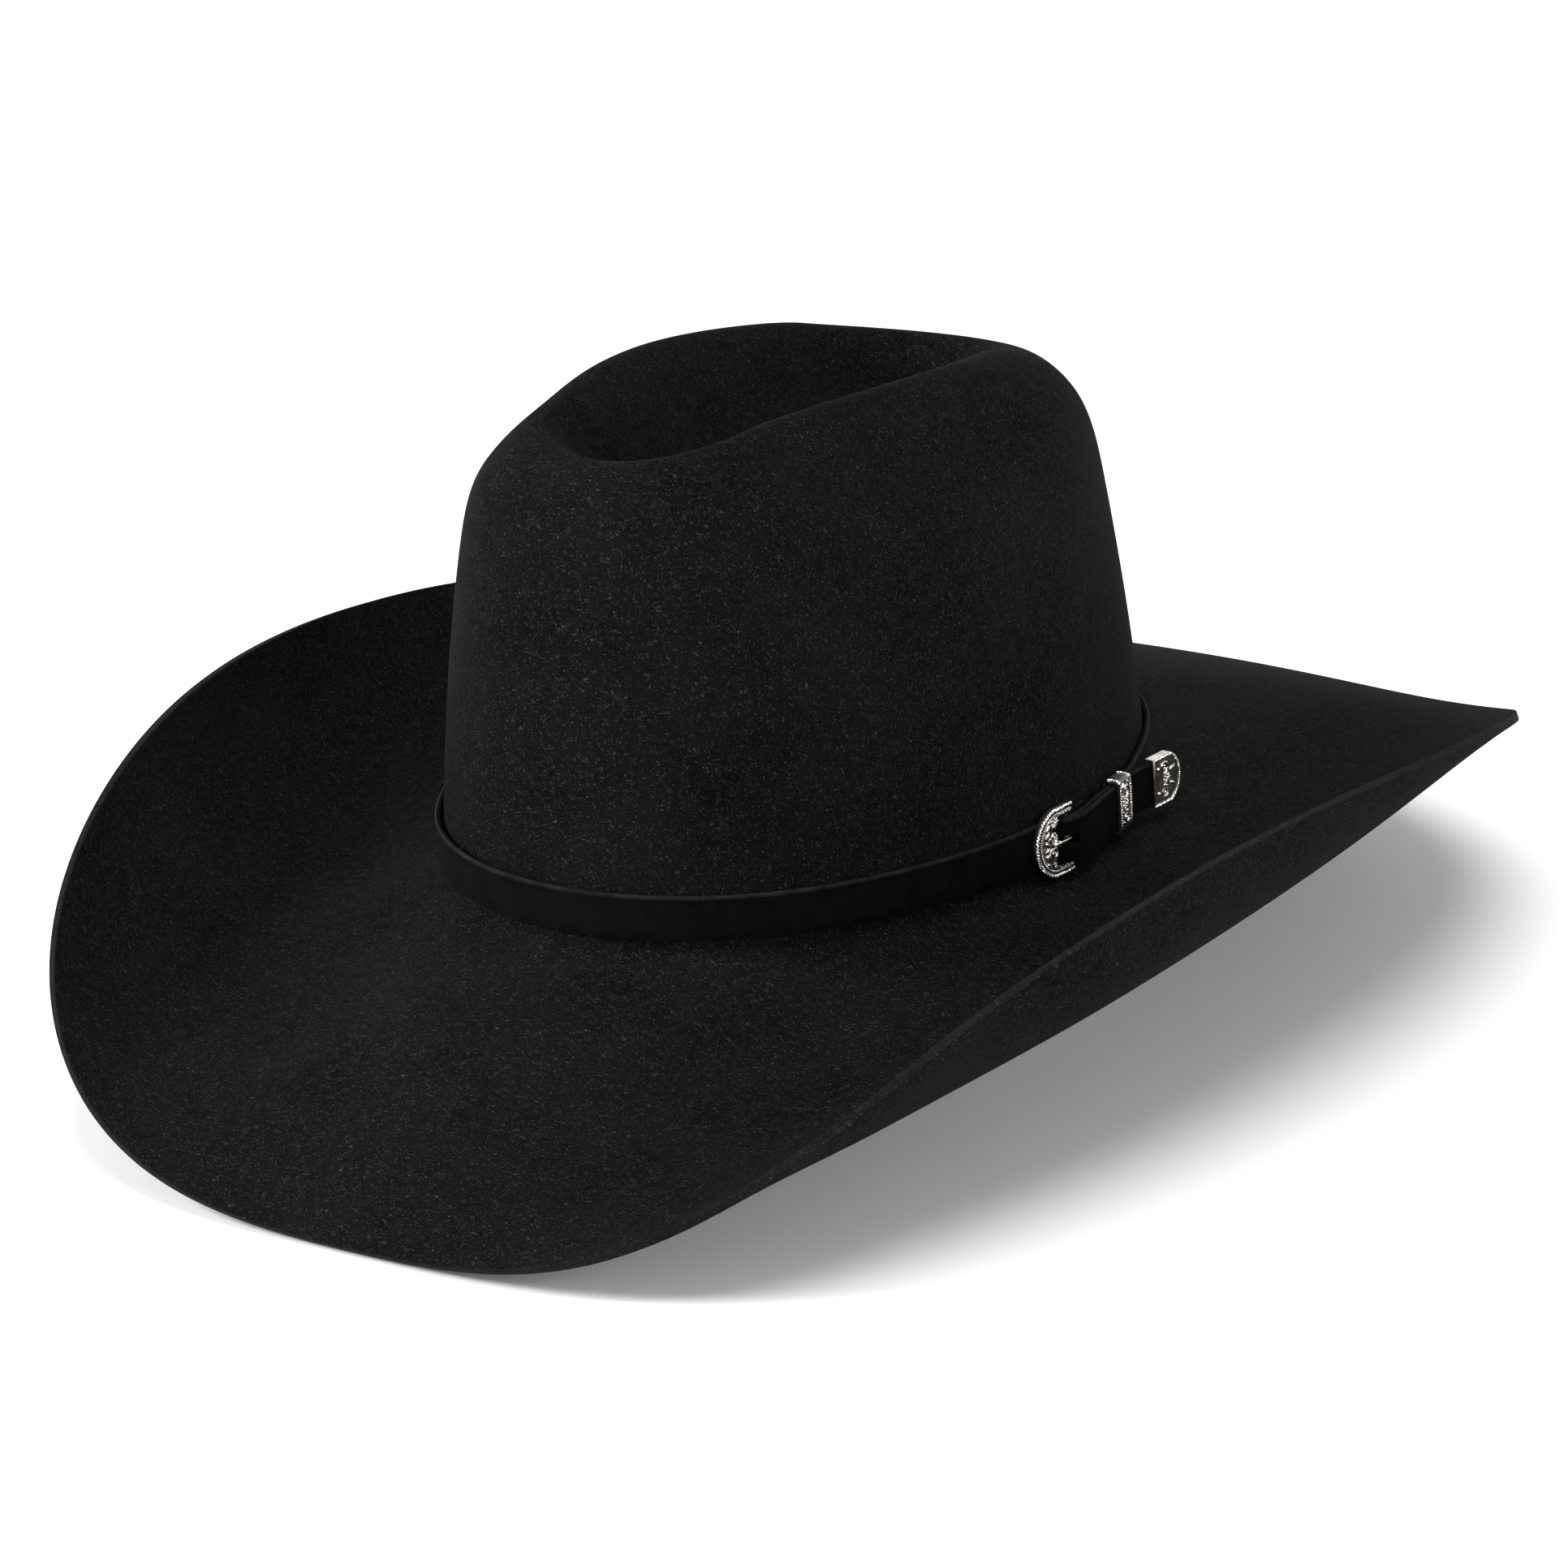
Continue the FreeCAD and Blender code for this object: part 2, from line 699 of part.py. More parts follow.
def strap_route():
    """Control points of the strap's middle line, from the chape's end to the tail's end."""
    points = [side_point(reach, outward, 0) for reach, outward in CHAPE_UNDER]
    fold_radius = dim("bar_radius") + dim("running_clearance") + dim("strap_thickness") / 2
    fold_radius /= 1 - (1 - math.cos(FOLD_STEP)) / 3
    for k in range(7):
        turn = -math.pi / 2 - k * FOLD_STEP
        along = dim("bar_reach") + fold_radius * math.cos(turn)
        out = bar_height + fold_radius * math.sin(turn)
        points.append(buckle_placement.multVec(Vector(along, -strap_middle, out)))
    points += [side_point(reach, outward, 0) for reach, outward in CHAPE_OVER]
    first = buckle_angle + CHAPE_OVER[-1][0] / side_radius
    last = buckle_angle + TAIL[0][0] / side_radius + 2 * math.pi
    for k in range(1, ROUND_STEPS):
        angle = first + (last - first) * k / ROUND_STEPS
        points.append(oval_point(angle, HUGGING, 0))
    points += [side_point(reach, outward, 0) for reach, outward in TAIL]
    return points


def clamped_curve(points):
    """Smooth open curve with these control points."""
    curve = Part.BSplineCurve()
    spans = len(points) - 3
    curve.buildFromPolesMultsKnots(
        points, [4] + [1] * (spans - 1) + [4], [float(i) for i in range(spans + 1)], False, 3
    )
    return curve


def strap_solid(middle):
    """The strap as one long strip, bent to its middle line."""
    first, last = middle.FirstParameter, middle.LastParameter
    samples = int(last - first) * 3
    half = dim("strap_thickness") / 2
    sides = ([], [])
    for k in range(samples + 1):
        at = first + (last - first) * k / samples
        tangent = middle.tangent(at)[0]
        normal = Vector(-tangent.y, tangent.x, 0)
        sides[0].append(middle.value(at) + normal * half)
        sides[1].append(middle.value(at) - normal * half)
    curves = []
    for side in sides:
        curve = Part.BSplineCurve()
        curve.interpolate(Points=side)
        curves.append(curve.toShape())
    ends = [Part.makeLine(sides[0][k], sides[1][k]) for k in (0, -1)]
    outline = Part.Wire([curves[0], ends[1], curves[1], ends[0]])
    strip = Part.Face(outline).extrude(Vector(0, 0, dim("strap_width")))
    strip.translate(Vector(0, 0, dim("strap_bottom")))
    return strip


def local_box(placement, low, high):
    """A box in a local frame, from its low corner to its high corner."""
    size = [b - a for a, b in zip(low, high)]
    box = Part.makeBox(*size, Vector(*low))
    box.Placement = placement.multiply(box.Placement)
    return box


def place_on_strap(middle, reach):
    """Local frame on the tail, this far behind the buckle, square to the strap."""
    at = middle.parameter(side_point(reach, 8.0, 0))
    along = middle.tangent(at)[0]
    out = Vector(along.y, -along.x, 0)
    origin = middle.value(at) + Vector(0, 0, strap_middle)
    return frame_placement(along, out, origin)


strap_line = clamped_curve(strap_route())
tip_placement = place_on_strap(strap_line, dim("tip_reach"))


def rivet_places():
    """Where the tip's two rivets go, in the tip's own frame."""
    return [Vector(-dim("tip_length") / 2 + 2.2, 3.4 * side, 0) for side in (-1, 1)]


def rivet_pin(place, radius, length):
    pin = Part.makeCylinder(radius, length, place - Vector(0, 0, length / 2))
    pin.Placement = tip_placement.multiply(pin.Placement)
    return pin


def build_hatband_strap():
    slot = dim("tongue_ring_width") / 2 + 0.4
    cuts = [
        local_box(buckle_placement, (-2.0, -slot, 0.2), (6.4, slot, 9.0)),
        local_box(buckle_placement, (6.3, -slot, 0.2), (7.4, slot, 5.0)),
    ]
    hole = dim("rivet_radius") + dim("running_clearance")
    cuts += [rivet_pin(place, hole, 8.0) for place in rivet_places()]
    return add_shape("hatband_strap", strap_solid(strap_line).cut(cuts))


def build_chape_stitches():
    """Four thread stitches through the folded end of the strap."""
    stitches = []
    for height in (-4.2, -3.0, 3.0, 4.2):
        start = side_point(10.5, 0.9, strap_middle + height)
        out = side_point(10.5, 4.8, strap_middle + height) - start
        stitches.append(Part.makeCylinder(dim("thread_radius") + 0.05, out.Length, start, out))
    return add_group("chape_stitches", stitches)


def build_hatband_tacks():
    """Short thread tacks that hold the strap's top edge to the crown."""
    tacks = []
    top = dim("strap_bottom") + dim("strap_width")
    for degrees in (60, 120, 180, 240, 300):
        angle = math.radians(degrees)
        start = oval_point(angle, -1.0, top + 0.35)
        end = oval_point(angle, 2.0, top - 0.9)
        run = end - start
        tacks.append(Part.makeCylinder(dim("thread_radius") + 0.05, run.Length, start, run))
    return add_group("hatband_tacks", tacks)


# ---------------------------------------------------------------- buckle set


def build_buckle_frame():
    """Rounded frame whose toe lies over the strap; the heel end is closed by the bar."""
    body = add_body("buckle_frame")
    outline = add_sketch(body, "frame_outline", "XY_Plane")
    half = dim("frame_height") / 2
    radius = dim("toe_radius")
    toe = -dim("toe_reach")
    heel = dim("frame_length") + toe
    shoulder = toe + radius - math.sqrt(radius**2 - half**2)
    lines = [
        (Vector(shoulder, -half, 0), Vector(heel, -half, 0)),
        (Vector(heel, -half, 0), Vector(heel, half, 0)),
        (Vector(heel, half, 0), Vector(shoulder, half, 0)),
    ]
    for start, end in lines:
        outline.addGeometry(Part.LineSegment(start, end))
    outline.addGeometry(
        Part.Arc(Vector(shoulder, half, 0), Vector(toe, 0, 0), Vector(shoulder, -half, 0))
    )
    outline.addConstraint(Sketcher.Constraint("Horizontal", 0))
    outline.addConstraint(Sketcher.Constraint("Horizontal", 2))
    outline.addConstraint(Sketcher.Constraint("Vertical", 0, 1, 2, 2))
    for first, second in ((0, 1), (1, 2)):
        outline.addConstraint(Sketcher.Constraint("Coincident", first, 2, second, 1))
    arc = outline.Geometry[3]
    arc_top, arc_bottom = (1, 2) if arc.StartPoint.y > 0 else (2, 1)
    outline.addConstraint(Sketcher.Constraint("Coincident", 2, 2, 3, arc_top))
    outline.addConstraint(Sketcher.Constraint("Coincident", 0, 1, 3, arc_bottom))
    outline.addConstraint(Sketcher.Constraint("Symmetric", 0, 2, 1, 2, -1))
    bind(outline, Sketcher.Constraint("Distance", 1, 2 * half), "height", "Sizes.frame_height")
    bind(outline, Sketcher.Constraint("Radius", 3, radius), "toe", "Sizes.toe_radius")
    bind(
        outline,
        Sketcher.Constraint("DistanceX", -1, 1, 0, 2, heel),
        "heel",
        "Sizes.frame_length - Sizes.toe_reach",
    )
    bind(
        outline,
        Sketcher.Constraint("DistanceX", 0, 1, 0, 2, heel - shoulder),
        "arm",
        "Sizes.frame_length - Sizes.toe_radius"
        " + sqrt(Sizes.toe_radius ^ 2 - (Sizes.frame_height / 2) ^ 2)",
    )
    pad = body.newObject("PartDesign::Pad", "frame_pad")
    pad.Profile = outline
    pad.setExpression("Length", "Sizes.frame_thickness")
    window = add_sketch(body, "frame_window", "XY_Plane")
    inner_half = half - dim("frame_rail")
    edge = dim("toe_inner_edge")
    open_end = heel + 5.0
    add_symmetric_box(window, edge, open_end, inner_half)
    bind(
        window,
        Sketcher.Constraint("Distance", 1, 2 * inner_half),
        "height",
        "Sizes.frame_height - 2 * Sizes.frame_rail",
    )
    bind(
        window, Sketcher.Constraint("DistanceX", -1, 1, 0, 1, edge), "toe_edge", "Sizes.toe_inner_edge"
    )
    bind(
        window,
        Sketcher.Constraint("DistanceX", -1, 1, 0, 2, open_end),
        "open_end",
        "Sizes.frame_length - Sizes.toe_reach + 5",
    )
    pocket = body.newObject("PartDesign::Pocket", "frame_pocket")
    pocket.Profile = window
    pocket.Type = "ThroughAll"
    pocket.Midplane = True
    holes = add_sketch(body, "bar_holes", "XZ_Plane")
    holes.addGeometry(
        Part.Circle(
            Vector(dim("bar_reach"), dim("frame_thickness") / 2, 0), Vector(0, 0, 1), dim("bar_radius")
        )
    )
    bind(holes, Sketcher.Constraint("Radius", 0, dim("bar_radius")), "bar_hole", "Sizes.bar_radius")
    bind(
        holes,
        Sketcher.Constraint("DistanceX", -1, 1, 0, 3, dim("bar_reach")),
        "reach",
        "Sizes.bar_reach",
    )
    bind(
        holes,
        Sketcher.Constraint("DistanceY", -1, 1, 0, 3, dim("frame_thickness") / 2),
        "rise",
        "Sizes.frame_thickness / 2",
    )
    bore = body.newObject("PartDesign::Pocket", "bar_bore")
    bore.Profile = holes
    bore.Midplane = True
    bore.setExpression("Length", "Sizes.frame_height - 1.2")
    body.Tip = bore
    body.Placement = side_placement(0, dim("frame_back"), strap_middle)
    return body


def build_buckle_bar():
    """Heel bar, pressed into the frame's two arms."""
    bar = doc.addObject("Part::Cylinder", "buckle_bar")
    bar.Label = "buckle_bar"
    bar.setExpression("Radius", "Sizes.bar_radius")
    bar.setExpression("Height", "Sizes.frame_height - 1.2")
    length = dim("frame_height") - 1.2
    turned = Placement(Vector(0, -length / 2, 0), Rotation(Vector(1, 0, 0), -90))
    local = Placement(Vector(dim("bar_reach"), 0, bar_height), Rotation())
    bar.Placement = buckle_placement.multiply(local).multiply(turned)
    return bar


def build_buckle_tongue():
    """Round tongue that turns on the heel bar and rests on the toe."""
    ring_outer = doc.addObject("Part::Cylinder", "tongue_ring_outer")
    ring_outer.setExpression("Radius", "Sizes.tongue_ring_radius")
    ring_outer.setExpression("Height", "Sizes.tongue_ring_width")
    bore = doc.addObject("Part::Cylinder", "tongue_bore")
    bore.setExpression("Radius", "Sizes.bar_radius + Sizes.running_clearance")
    bore.setExpression("Height", "Sizes.tongue_ring_width + 4")
    rod = doc.addObject("Part::Cylinder", "tongue_rod")
    rod.setExpression("Radius", "Sizes.tongue_rod_radius")
    rod.setExpression("Height", "Sizes.tongue_length")
    collar = doc.addObject("Part::Torus", "tongue_collar")
    collar.setExpression("Radius1", "Sizes.tongue_rod_radius - 0.2")
    collar.Radius2 = 0.3
    width = dim("tongue_ring_width")
    centre = Vector(dim("bar_reach"), 0, bar_height)
    for cylinder, extra in ((ring_outer, 0.0), (bore, 4.0)):
        start = centre + Vector(0, -(width + extra) / 2, 0)
        local = Placement(start, Rotation(Vector(1, 0, 0), -90))
        cylinder.Placement = buckle_placement.multiply(local)
    rise = dim("frame_back") + dim("frame_thickness") + dim("tongue_rod_radius") + 0.1
    along_toe = Rotation(Vector(0, 1, 0), -90)
    rod_start = Vector(dim("bar_reach") + 0.2, 0, rise)
    rod.Placement = buckle_placement.multiply(Placement(rod_start, along_toe))
    collar_place = Vector(dim("bar_reach") - dim("tongue_length") + 1.4, 0, rise + 0.03)
    collar.Placement = buckle_placement.multiply(Placement(collar_place, along_toe))
    solid = doc.addObject("Part::MultiFuse", "tongue_blank")
    solid.Shapes = [ring_outer, rod, collar]
    tongue = doc.addObject("Part::Cut", "buckle_tongue")
    tongue.Base = solid
    tongue.Tool = bore
    tongue.Label = "buckle_tongue"
    return tongue


def build_keeper():
    """Metal loop that slides along the strap and holds the tail down."""
    body = add_body("keeper")
    section = add_sketch(body, "keeper_section", "YZ_Plane")
    clearance = dim("keeper_clearance")
    wall = dim("keeper_wall")
    inner_width = dim("strap_width") + 2 * clearance
    inner_depth = 2 * dim("strap_thickness") + 0.8
    add_rectangle(
        section,
        inner_width,
        inner_depth,
        "inner",
        "Sizes.strap_width + 2 * Sizes.keeper_clearance",
        "2 * Sizes.strap_thickness + 0.8",
    )
    add_rectangle(
        section,
        inner_width + 2 * wall,
        inner_depth + 2 * wall,
        "outer",
        "Sizes.strap_width + 2 * Sizes.keeper_clearance + 2 * Sizes.keeper_wall",
        "2 * Sizes.strap_thickness + 0.8 + 2 * Sizes.keeper_wall",
    )
    pad = body.newObject("PartDesign::Pad", "keeper_pad")
    pad.Profile = section
    pad.Midplane = True
    pad.setExpression("Length", "Sizes.keeper_length")
    doc.recompute()
    edges = [
        f"Edge{i}"
        for i, edge in enumerate(pad.Shape.Edges, start=1)
        if abs(edge.BoundBox.XLength - dim("keeper_length")) < 1e-6
        and abs(edge.BoundBox.Center.y) > inner_width / 2 + wall / 2
    ]
    rounded = body.newObject("PartDesign::Fillet", "keeper_corners")
    rounded.Base = (pad, edges)
    rounded.setExpression("Radius", "Sizes.keeper_wall * 0.8")
    body.Tip = rounded
    body.Placement = side_placement(dim("keeper_reach"), KEEPER_MIDDLE, strap_middle)
    return body


def build_strap_tip():
    """Metal cap on the tail's end, with a slot for the strap and a rounded nose."""
    body = add_body("strap_tip")
    outline = add_sketch(body, "tip_outline", "XY_Plane")
    half = dim("strap_width") / 2 + 0.15 + dim("tip_wall")
    nose = dim("tip_nose")
    straight = dim("tip_length") / 2 - nose
    low, high = Vector(straight, -half, 0), Vector(straight, half, 0)
    mouth_low = Vector(-dim("tip_length") / 2, -half, 0)
    mouth_high = Vector(-dim("tip_length") / 2, half, 0)
    outline.addGeometry(Part.LineSegment(mouth_low, low))
    outline.addGeometry(Part.Arc(low, Vector(dim("tip_length") / 2, 0, 0), high))
    outline.addGeometry(Part.LineSegment(high, mouth_high))
    outline.addGeometry(Part.LineSegment(mouth_high, mouth_low))
    outline.addConstraint(Sketcher.Constraint("Horizontal", 0))
    outline.addConstraint(Sketcher.Constraint("Horizontal", 2))
    outline.addConstraint(Sketcher.Constraint("Vertical", 0, 2, 2, 1))
    outline.addConstraint(Sketcher.Constraint("Coincident", 2, 2, 3, 1))
    outline.addConstraint(Sketcher.Constraint("Coincident", 3, 2, 0, 1))
    arc = outline.Geometry[1]
    arc_low, arc_high = (1, 2) if arc.StartPoint.y < 0 else (2, 1)
    outline.addConstraint(Sketcher.Constraint("Coincident", 0, 2, 1, arc_low))
    outline.addConstraint(Sketcher.Constraint("Coincident", 2, 1, 1, arc_high))
    outline.addConstraint(Sketcher.Constraint("Symmetric", 3, 1, 3, 2, -1))
    width_expression = "Sizes.strap_width + 0.3 + 2 * Sizes.tip_wall"
    bind(outline, Sketcher.Constraint("Distance", 3, 2 * half), "width", width_expression)
    bind(
        outline,
        Sketcher.Constraint("DistanceX", 0, 1, -1, 1, dim("tip_length") / 2),
        "mouth",
        "Sizes.tip_length / 2",
    )
    bind(
        outline,
        Sketcher.Constraint("DistanceX", 0, 1, 0, 2, straight + dim("tip_length") / 2),
        "straight",
        "Sizes.tip_length - Sizes.tip_nose",
    )
    nose_radius = outline.Geometry[1].Radius
    bind(
        outline,
        Sketcher.Constraint("Radius", 1, nose_radius),
        "nose",
        "((Sizes.strap_width / 2 + 0.15 + Sizes.tip_wall) ^ 2 + Sizes.tip_nose ^ 2)"
        " / (2 * Sizes.tip_nose)",
    )
    pad = body.newObject("PartDesign::Pad", "tip_pad")
    pad.Profile = outline
    pad.Midplane = True
    pad.setExpression("Length", "Sizes.strap_thickness + 0.5 + 2 * Sizes.tip_wall")
    slot = add_sketch(body, "tip_slot", "XZ_Plane")
    slot_depth = dim("tip_length") - nose
    thickness = dim("strap_thickness") + 0.5
    mouth = -dim("tip_length") / 2
    add_symmetric_box(slot, mouth - 1, mouth + slot_depth, thickness / 2)
    bind(slot, Sketcher.Constraint("Distance", 1, thickness), "gap", "Sizes.strap_thickness + 0.5")
    bind(
        slot,
        Sketcher.Constraint("DistanceX", -1, 1, 0, 2, slot_depth - dim("tip_length") / 2),
        "depth",
        "Sizes.tip_length / 2 - Sizes.tip_nose",
    )
    bind(
        slot,
        Sketcher.Constraint("DistanceX", 0, 1, -1, 1, dim("tip_length") / 2 + 1),
        "mouth",
        "Sizes.tip_length / 2 + 1",
    )
    pocket = body.newObject("PartDesign::Pocket", "tip_pocket")
    pocket.Profile = slot
    pocket.Midplane = True
    pocket.setExpression("Length", "Sizes.strap_width + 0.3")
    holes = add_sketch(body, "rivet_holes", "XY_Plane")
    for k, place in enumerate(rivet_places()):
        holes.addGeometry(Part.Circle(place, Vector(0, 0, 1), dim("rivet_radius")))
        bind(
            holes,
            Sketcher.Constraint("Radius", k, dim("rivet_radius")),
            f"hole_{k + 1}",
            "Sizes.rivet_radius",
        )
    bore = body.newObject("PartDesign::Pocket", "rivet_bores")
    bore.Profile = holes
    bore.Type = "ThroughAll"
    bore.Midplane = True
    body.Tip = bore
    body.Placement = tip_placement
    return body


def build_tip_rivets():
    """Two pins that hold the tip on the strap."""
    length = dim("strap_thickness") + 0.5 + 2 * dim("tip_wall") + 0.3
    pins = [rivet_pin(place, dim("rivet_radius"), length) for place in rivet_places()]
    return add_group("tip_rivets", pins)


# ---------------------------------------------------------------- build, check and export

parts = [
    build_felt_body(),
    build_sweatband(),
    build_sweatband_reed(),
    build_reed_tape(),
    build_sweatband_stitches(),
    build_seam_stitches(),
    build_sweatband_bow(),
    build_size_label(),
    build_liner_wall(),
    build_liner_tip(),
    build_liner_piping(),
    build_liner_shield(),
    build_hatband_strap(),
    build_chape_stitches(),
    build_hatband_tacks(),
    build_buckle_frame(),
    build_buckle_bar(),
    build_buckle_tongue(),
    build_keeper(),
    build_strap_tip(),
    build_tip_rivets(),
]
doc.recompute()

for item in doc.Objects:
    if "Invalid" in item.State or "Error" in item.State:
        raise RuntimeError(f"{item.Name} did not recompute: {item.State}")

os.makedirs("parts", exist_ok=True)
for part in parts:
    shape = part.Shape
    if shape.isNull() or not shape.isValid() or not shape.Solids:
        raise RuntimeError(f"{part.Label} has no valid solid")
    shape.exportStep(f"parts/{part.Label}.step")
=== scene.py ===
import math
import random
from math import cos, pi, radians, sin

import bmesh
import bpy
from mathutils import Matrix, Vector, noise


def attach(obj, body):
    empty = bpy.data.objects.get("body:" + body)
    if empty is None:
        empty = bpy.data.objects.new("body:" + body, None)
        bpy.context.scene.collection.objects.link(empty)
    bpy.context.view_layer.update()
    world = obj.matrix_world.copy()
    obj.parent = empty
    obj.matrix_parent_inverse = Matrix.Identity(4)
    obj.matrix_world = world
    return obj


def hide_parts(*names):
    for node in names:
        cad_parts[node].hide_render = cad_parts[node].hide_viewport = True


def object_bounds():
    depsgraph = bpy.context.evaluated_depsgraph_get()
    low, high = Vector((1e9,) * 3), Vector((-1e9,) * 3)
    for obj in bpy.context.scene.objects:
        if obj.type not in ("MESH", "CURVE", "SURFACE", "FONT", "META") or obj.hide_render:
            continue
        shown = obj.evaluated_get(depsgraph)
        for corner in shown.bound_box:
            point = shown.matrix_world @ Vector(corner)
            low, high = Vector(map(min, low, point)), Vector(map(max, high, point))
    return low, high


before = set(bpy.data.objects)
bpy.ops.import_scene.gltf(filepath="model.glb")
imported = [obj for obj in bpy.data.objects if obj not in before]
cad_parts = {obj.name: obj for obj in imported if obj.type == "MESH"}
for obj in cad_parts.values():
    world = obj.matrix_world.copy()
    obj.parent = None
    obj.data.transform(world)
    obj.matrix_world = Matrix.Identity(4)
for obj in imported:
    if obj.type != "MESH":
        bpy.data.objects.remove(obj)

# Black felt western hat: creased crown, curled brim, suede hatband with a silver buckle set.
# Shapes are worked out in millimetres, in the CAD's frame, and made in metres.
MM = 0.001
SCENE = bpy.context.scene
RNG = random.Random(11)
CAD_BOX = [list(corner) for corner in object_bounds()]


def vec(x, y, z):
    return Vector((x, y, z))


def link(name, data):
    """A new object, linked to the scene."""
    obj = bpy.data.objects.new(name, data)
    SCENE.collection.objects.link(obj)
    return obj


def neighbours(line, i):
    """The items before and after one; at an end it is its own neighbour."""
    return line[max(i - 1, 0)], line[min(i + 1, len(line) - 1)]


def round_angles(count):
    return [2 * pi * k / count for k in range(count)]


# ---- head oval and felt

HALF_LENGTH, HALF_WIDTH, END_RADIUS = 104.5, 85.5, 77.0
END_CENTRE = HALF_LENGTH - END_RADIUS
SIDE_RADIUS = (HALF_WIDTH**2 + END_CENTRE**2 - END_RADIUS**2) / (2 * (HALF_WIDTH - END_RADIUS))
SIDE_CENTRE = SIDE_RADIUS - HALF_WIDTH
JOIN_ANGLE = math.atan2(END_CENTRE, SIDE_CENTRE)
FELT = 2.5
LEAN = 0.025
LINER_TOP = 82.0

# Share of the crest height, inward step, further step at the sides, dents' step and drop.
CROWN = [
    (0.050, 0.0, 0.0, 0.0, 0.0),
    (0.130, 0.2, 0.0, 0.0, 0.0),
    (0.250, 1.4, 0.0, 0.0, 0.0),
    (0.400, 3.2, 0.0, 0.0, 0.0),
    (0.560, 5.2, 0.5, 0.5, 0.0),
    (0.700, 7.1, 1.0, 2.0, 0.0),
    (0.820, 8.4, 2.0, 5.0, 1.0),
    (0.910, 10.0, 5.0, 7.0, 7.0),
    (0.975, 13.0, 11.0, 6.0, 12.0),
    (1.015, 17.5, 16.0, 3.0, 8.0),
    (1.030, 22.0, 19.0, 0.0, 1.0),
    (1.030, 26.5, 20.0, 0.0, 0.0),
    (0.965, 33.0, 20.0, 0.0, 0.0),
    (0.880, 40.0, 18.0, 0.0, 0.0),
]
# Inward step, further step at the sides, and rise over the basin's floor.
BASIN = [(57.0, 8.0, 2.5), (66.0, 3.0, 0.3), (73.0, 0.0, 0.0), (75.0, 0.0, 0.0)]
BASIN_HEIGHT = 99.0
# The brim's rings as shares of its width, and how its pitch grows outwards.
BRIM_SHARES = (1.0, 0.93, 0.80, 0.65, 0.50, 0.36, 0.24, 0.14, 0.06)
BRIM_STEPS, PITCH_POWER = 200, 1.84
DENT_MIDDLES, DENT_SPREAD = (-8, 188), 28
FELT_COLUMNS, FELT_LEVELS, RIM_CREASE = 48, 3, 0.72


def oval_point(angle, outward, height):
    """Point of the head oval whose normal makes this angle with +X, moved out along it."""
    cosine, sine = cos(angle), sin(angle)
    if abs(sine) < sin(JOIN_ANGLE):
        x = -math.copysign(SIDE_CENTRE, cosine) + (SIDE_RADIUS + outward) * cosine
        y = (SIDE_RADIUS + outward) * sine
    else:
        x = (END_RADIUS + outward) * cosine
        y = math.copysign(END_CENTRE, sine) + (END_RADIUS + outward) * sine
    return vec(x, y, height)


def waves(angle, mean, *swings):
    """Sum of harmonics of the angle round the head: sines for odd ones, cosines for even ones."""
    total = mean
    for k, swing in enumerate(swings, 1):
        total += swing * (sin(k * angle) if k % 2 else cos(k * angle))
    return total


def brim_profile(angle):
    """Outward run and height along one normal, from the crown's foot to the brim's rim."""
    width = waves(angle, 105.5, -4.8, -3.9, -3.1, -3.5)
    root = radians(waves(angle, -12.8, 14.8, -2.7, 5.0, 3.3, -2.6))
    rim = radians(waves(angle, 26.1, -14.6, 63.6, -20.7, -3.4, 3.7, -1.4))
    run, height = 0.0, 0.0
    profile = [(run, height)]
    for i in range(BRIM_STEPS):
        pitch = root + (rim - root) * ((i + 0.5) / BRIM_STEPS) ** PITCH_POWER
        run += width / BRIM_STEPS * cos(pitch)
        height += width / BRIM_STEPS * sin(pitch)
        profile.append((run, height))
    return profile


def dent_share(angle):
    """How strongly the dents in the crown's sides act at this angle."""
    total = 0.0
    for middle in DENT_MIDDLES:
        away = math.degrees(math.remainder(angle - radians(middle), 2 * pi))
        total += math.exp(-((away / DENT_SPREAD) ** 2))
    return total


def side_share(angle):
    return 1 - abs(sin(angle)) ** 2.2


def crest_height(angle):
    return waves(angle, 117.5, -5.5, 5.0, -0.5)


def leaned(point):
    return point + vec(0, LEAN * point.z, 0)


def felt_rings():
    """Rings of control points, from the rim over the crown to the middle of the basin."""
    angles = round_angles(FELT_COLUMNS)
    profiles = [brim_profile(angle) for angle in angles]
    rings = []
    for share in BRIM_SHARES:
        step = round(share * BRIM_STEPS)
        rings.append([oval_point(a, p[step][0], p[step][1]) for a, p in zip(angles, profiles)])
    rings.append([oval_point(a, 1.0, 0.0) for a in angles])
    for share, inward, side_in, dent_in, drop in CROWN:
        ring = []
        for a in angles:
            outward = -inward - side_in * side_share(a) - dent_in * dent_share(a)
            height = share * crest_height(a) - drop * dent_share(a)
            ring.append(leaned(oval_point(a, outward, height)))
        rings.append(ring)
    for inward, side_in, rise in BASIN:
        outwards = [-inward - side_in * side_share(a) for a in angles]
        height = BASIN_HEIGHT + rise
        rings.append([leaned(oval_point(a, o, height)) for a, o in zip(angles, outwards)])
    return rings


def wall_point(angle, inset, height):
    """Point this far inside the outside of the crown wall."""
    share = height / crest_height(angle)
    for low, high in zip(CROWN, CROWN[1:]):
        if share <= high[0]:
            break
    mix = max((share - low[0]) / (high[0] - low[0]), 0.0)
    side, dent = side_share(angle), dent_share(angle)
    steps = [row[1] + row[2] * side + row[3] * dent for row in (low, high)]
    wall = steps[0] + mix * (steps[1] - steps[0])
    return leaned(oval_point(angle, -wall - inset, height))


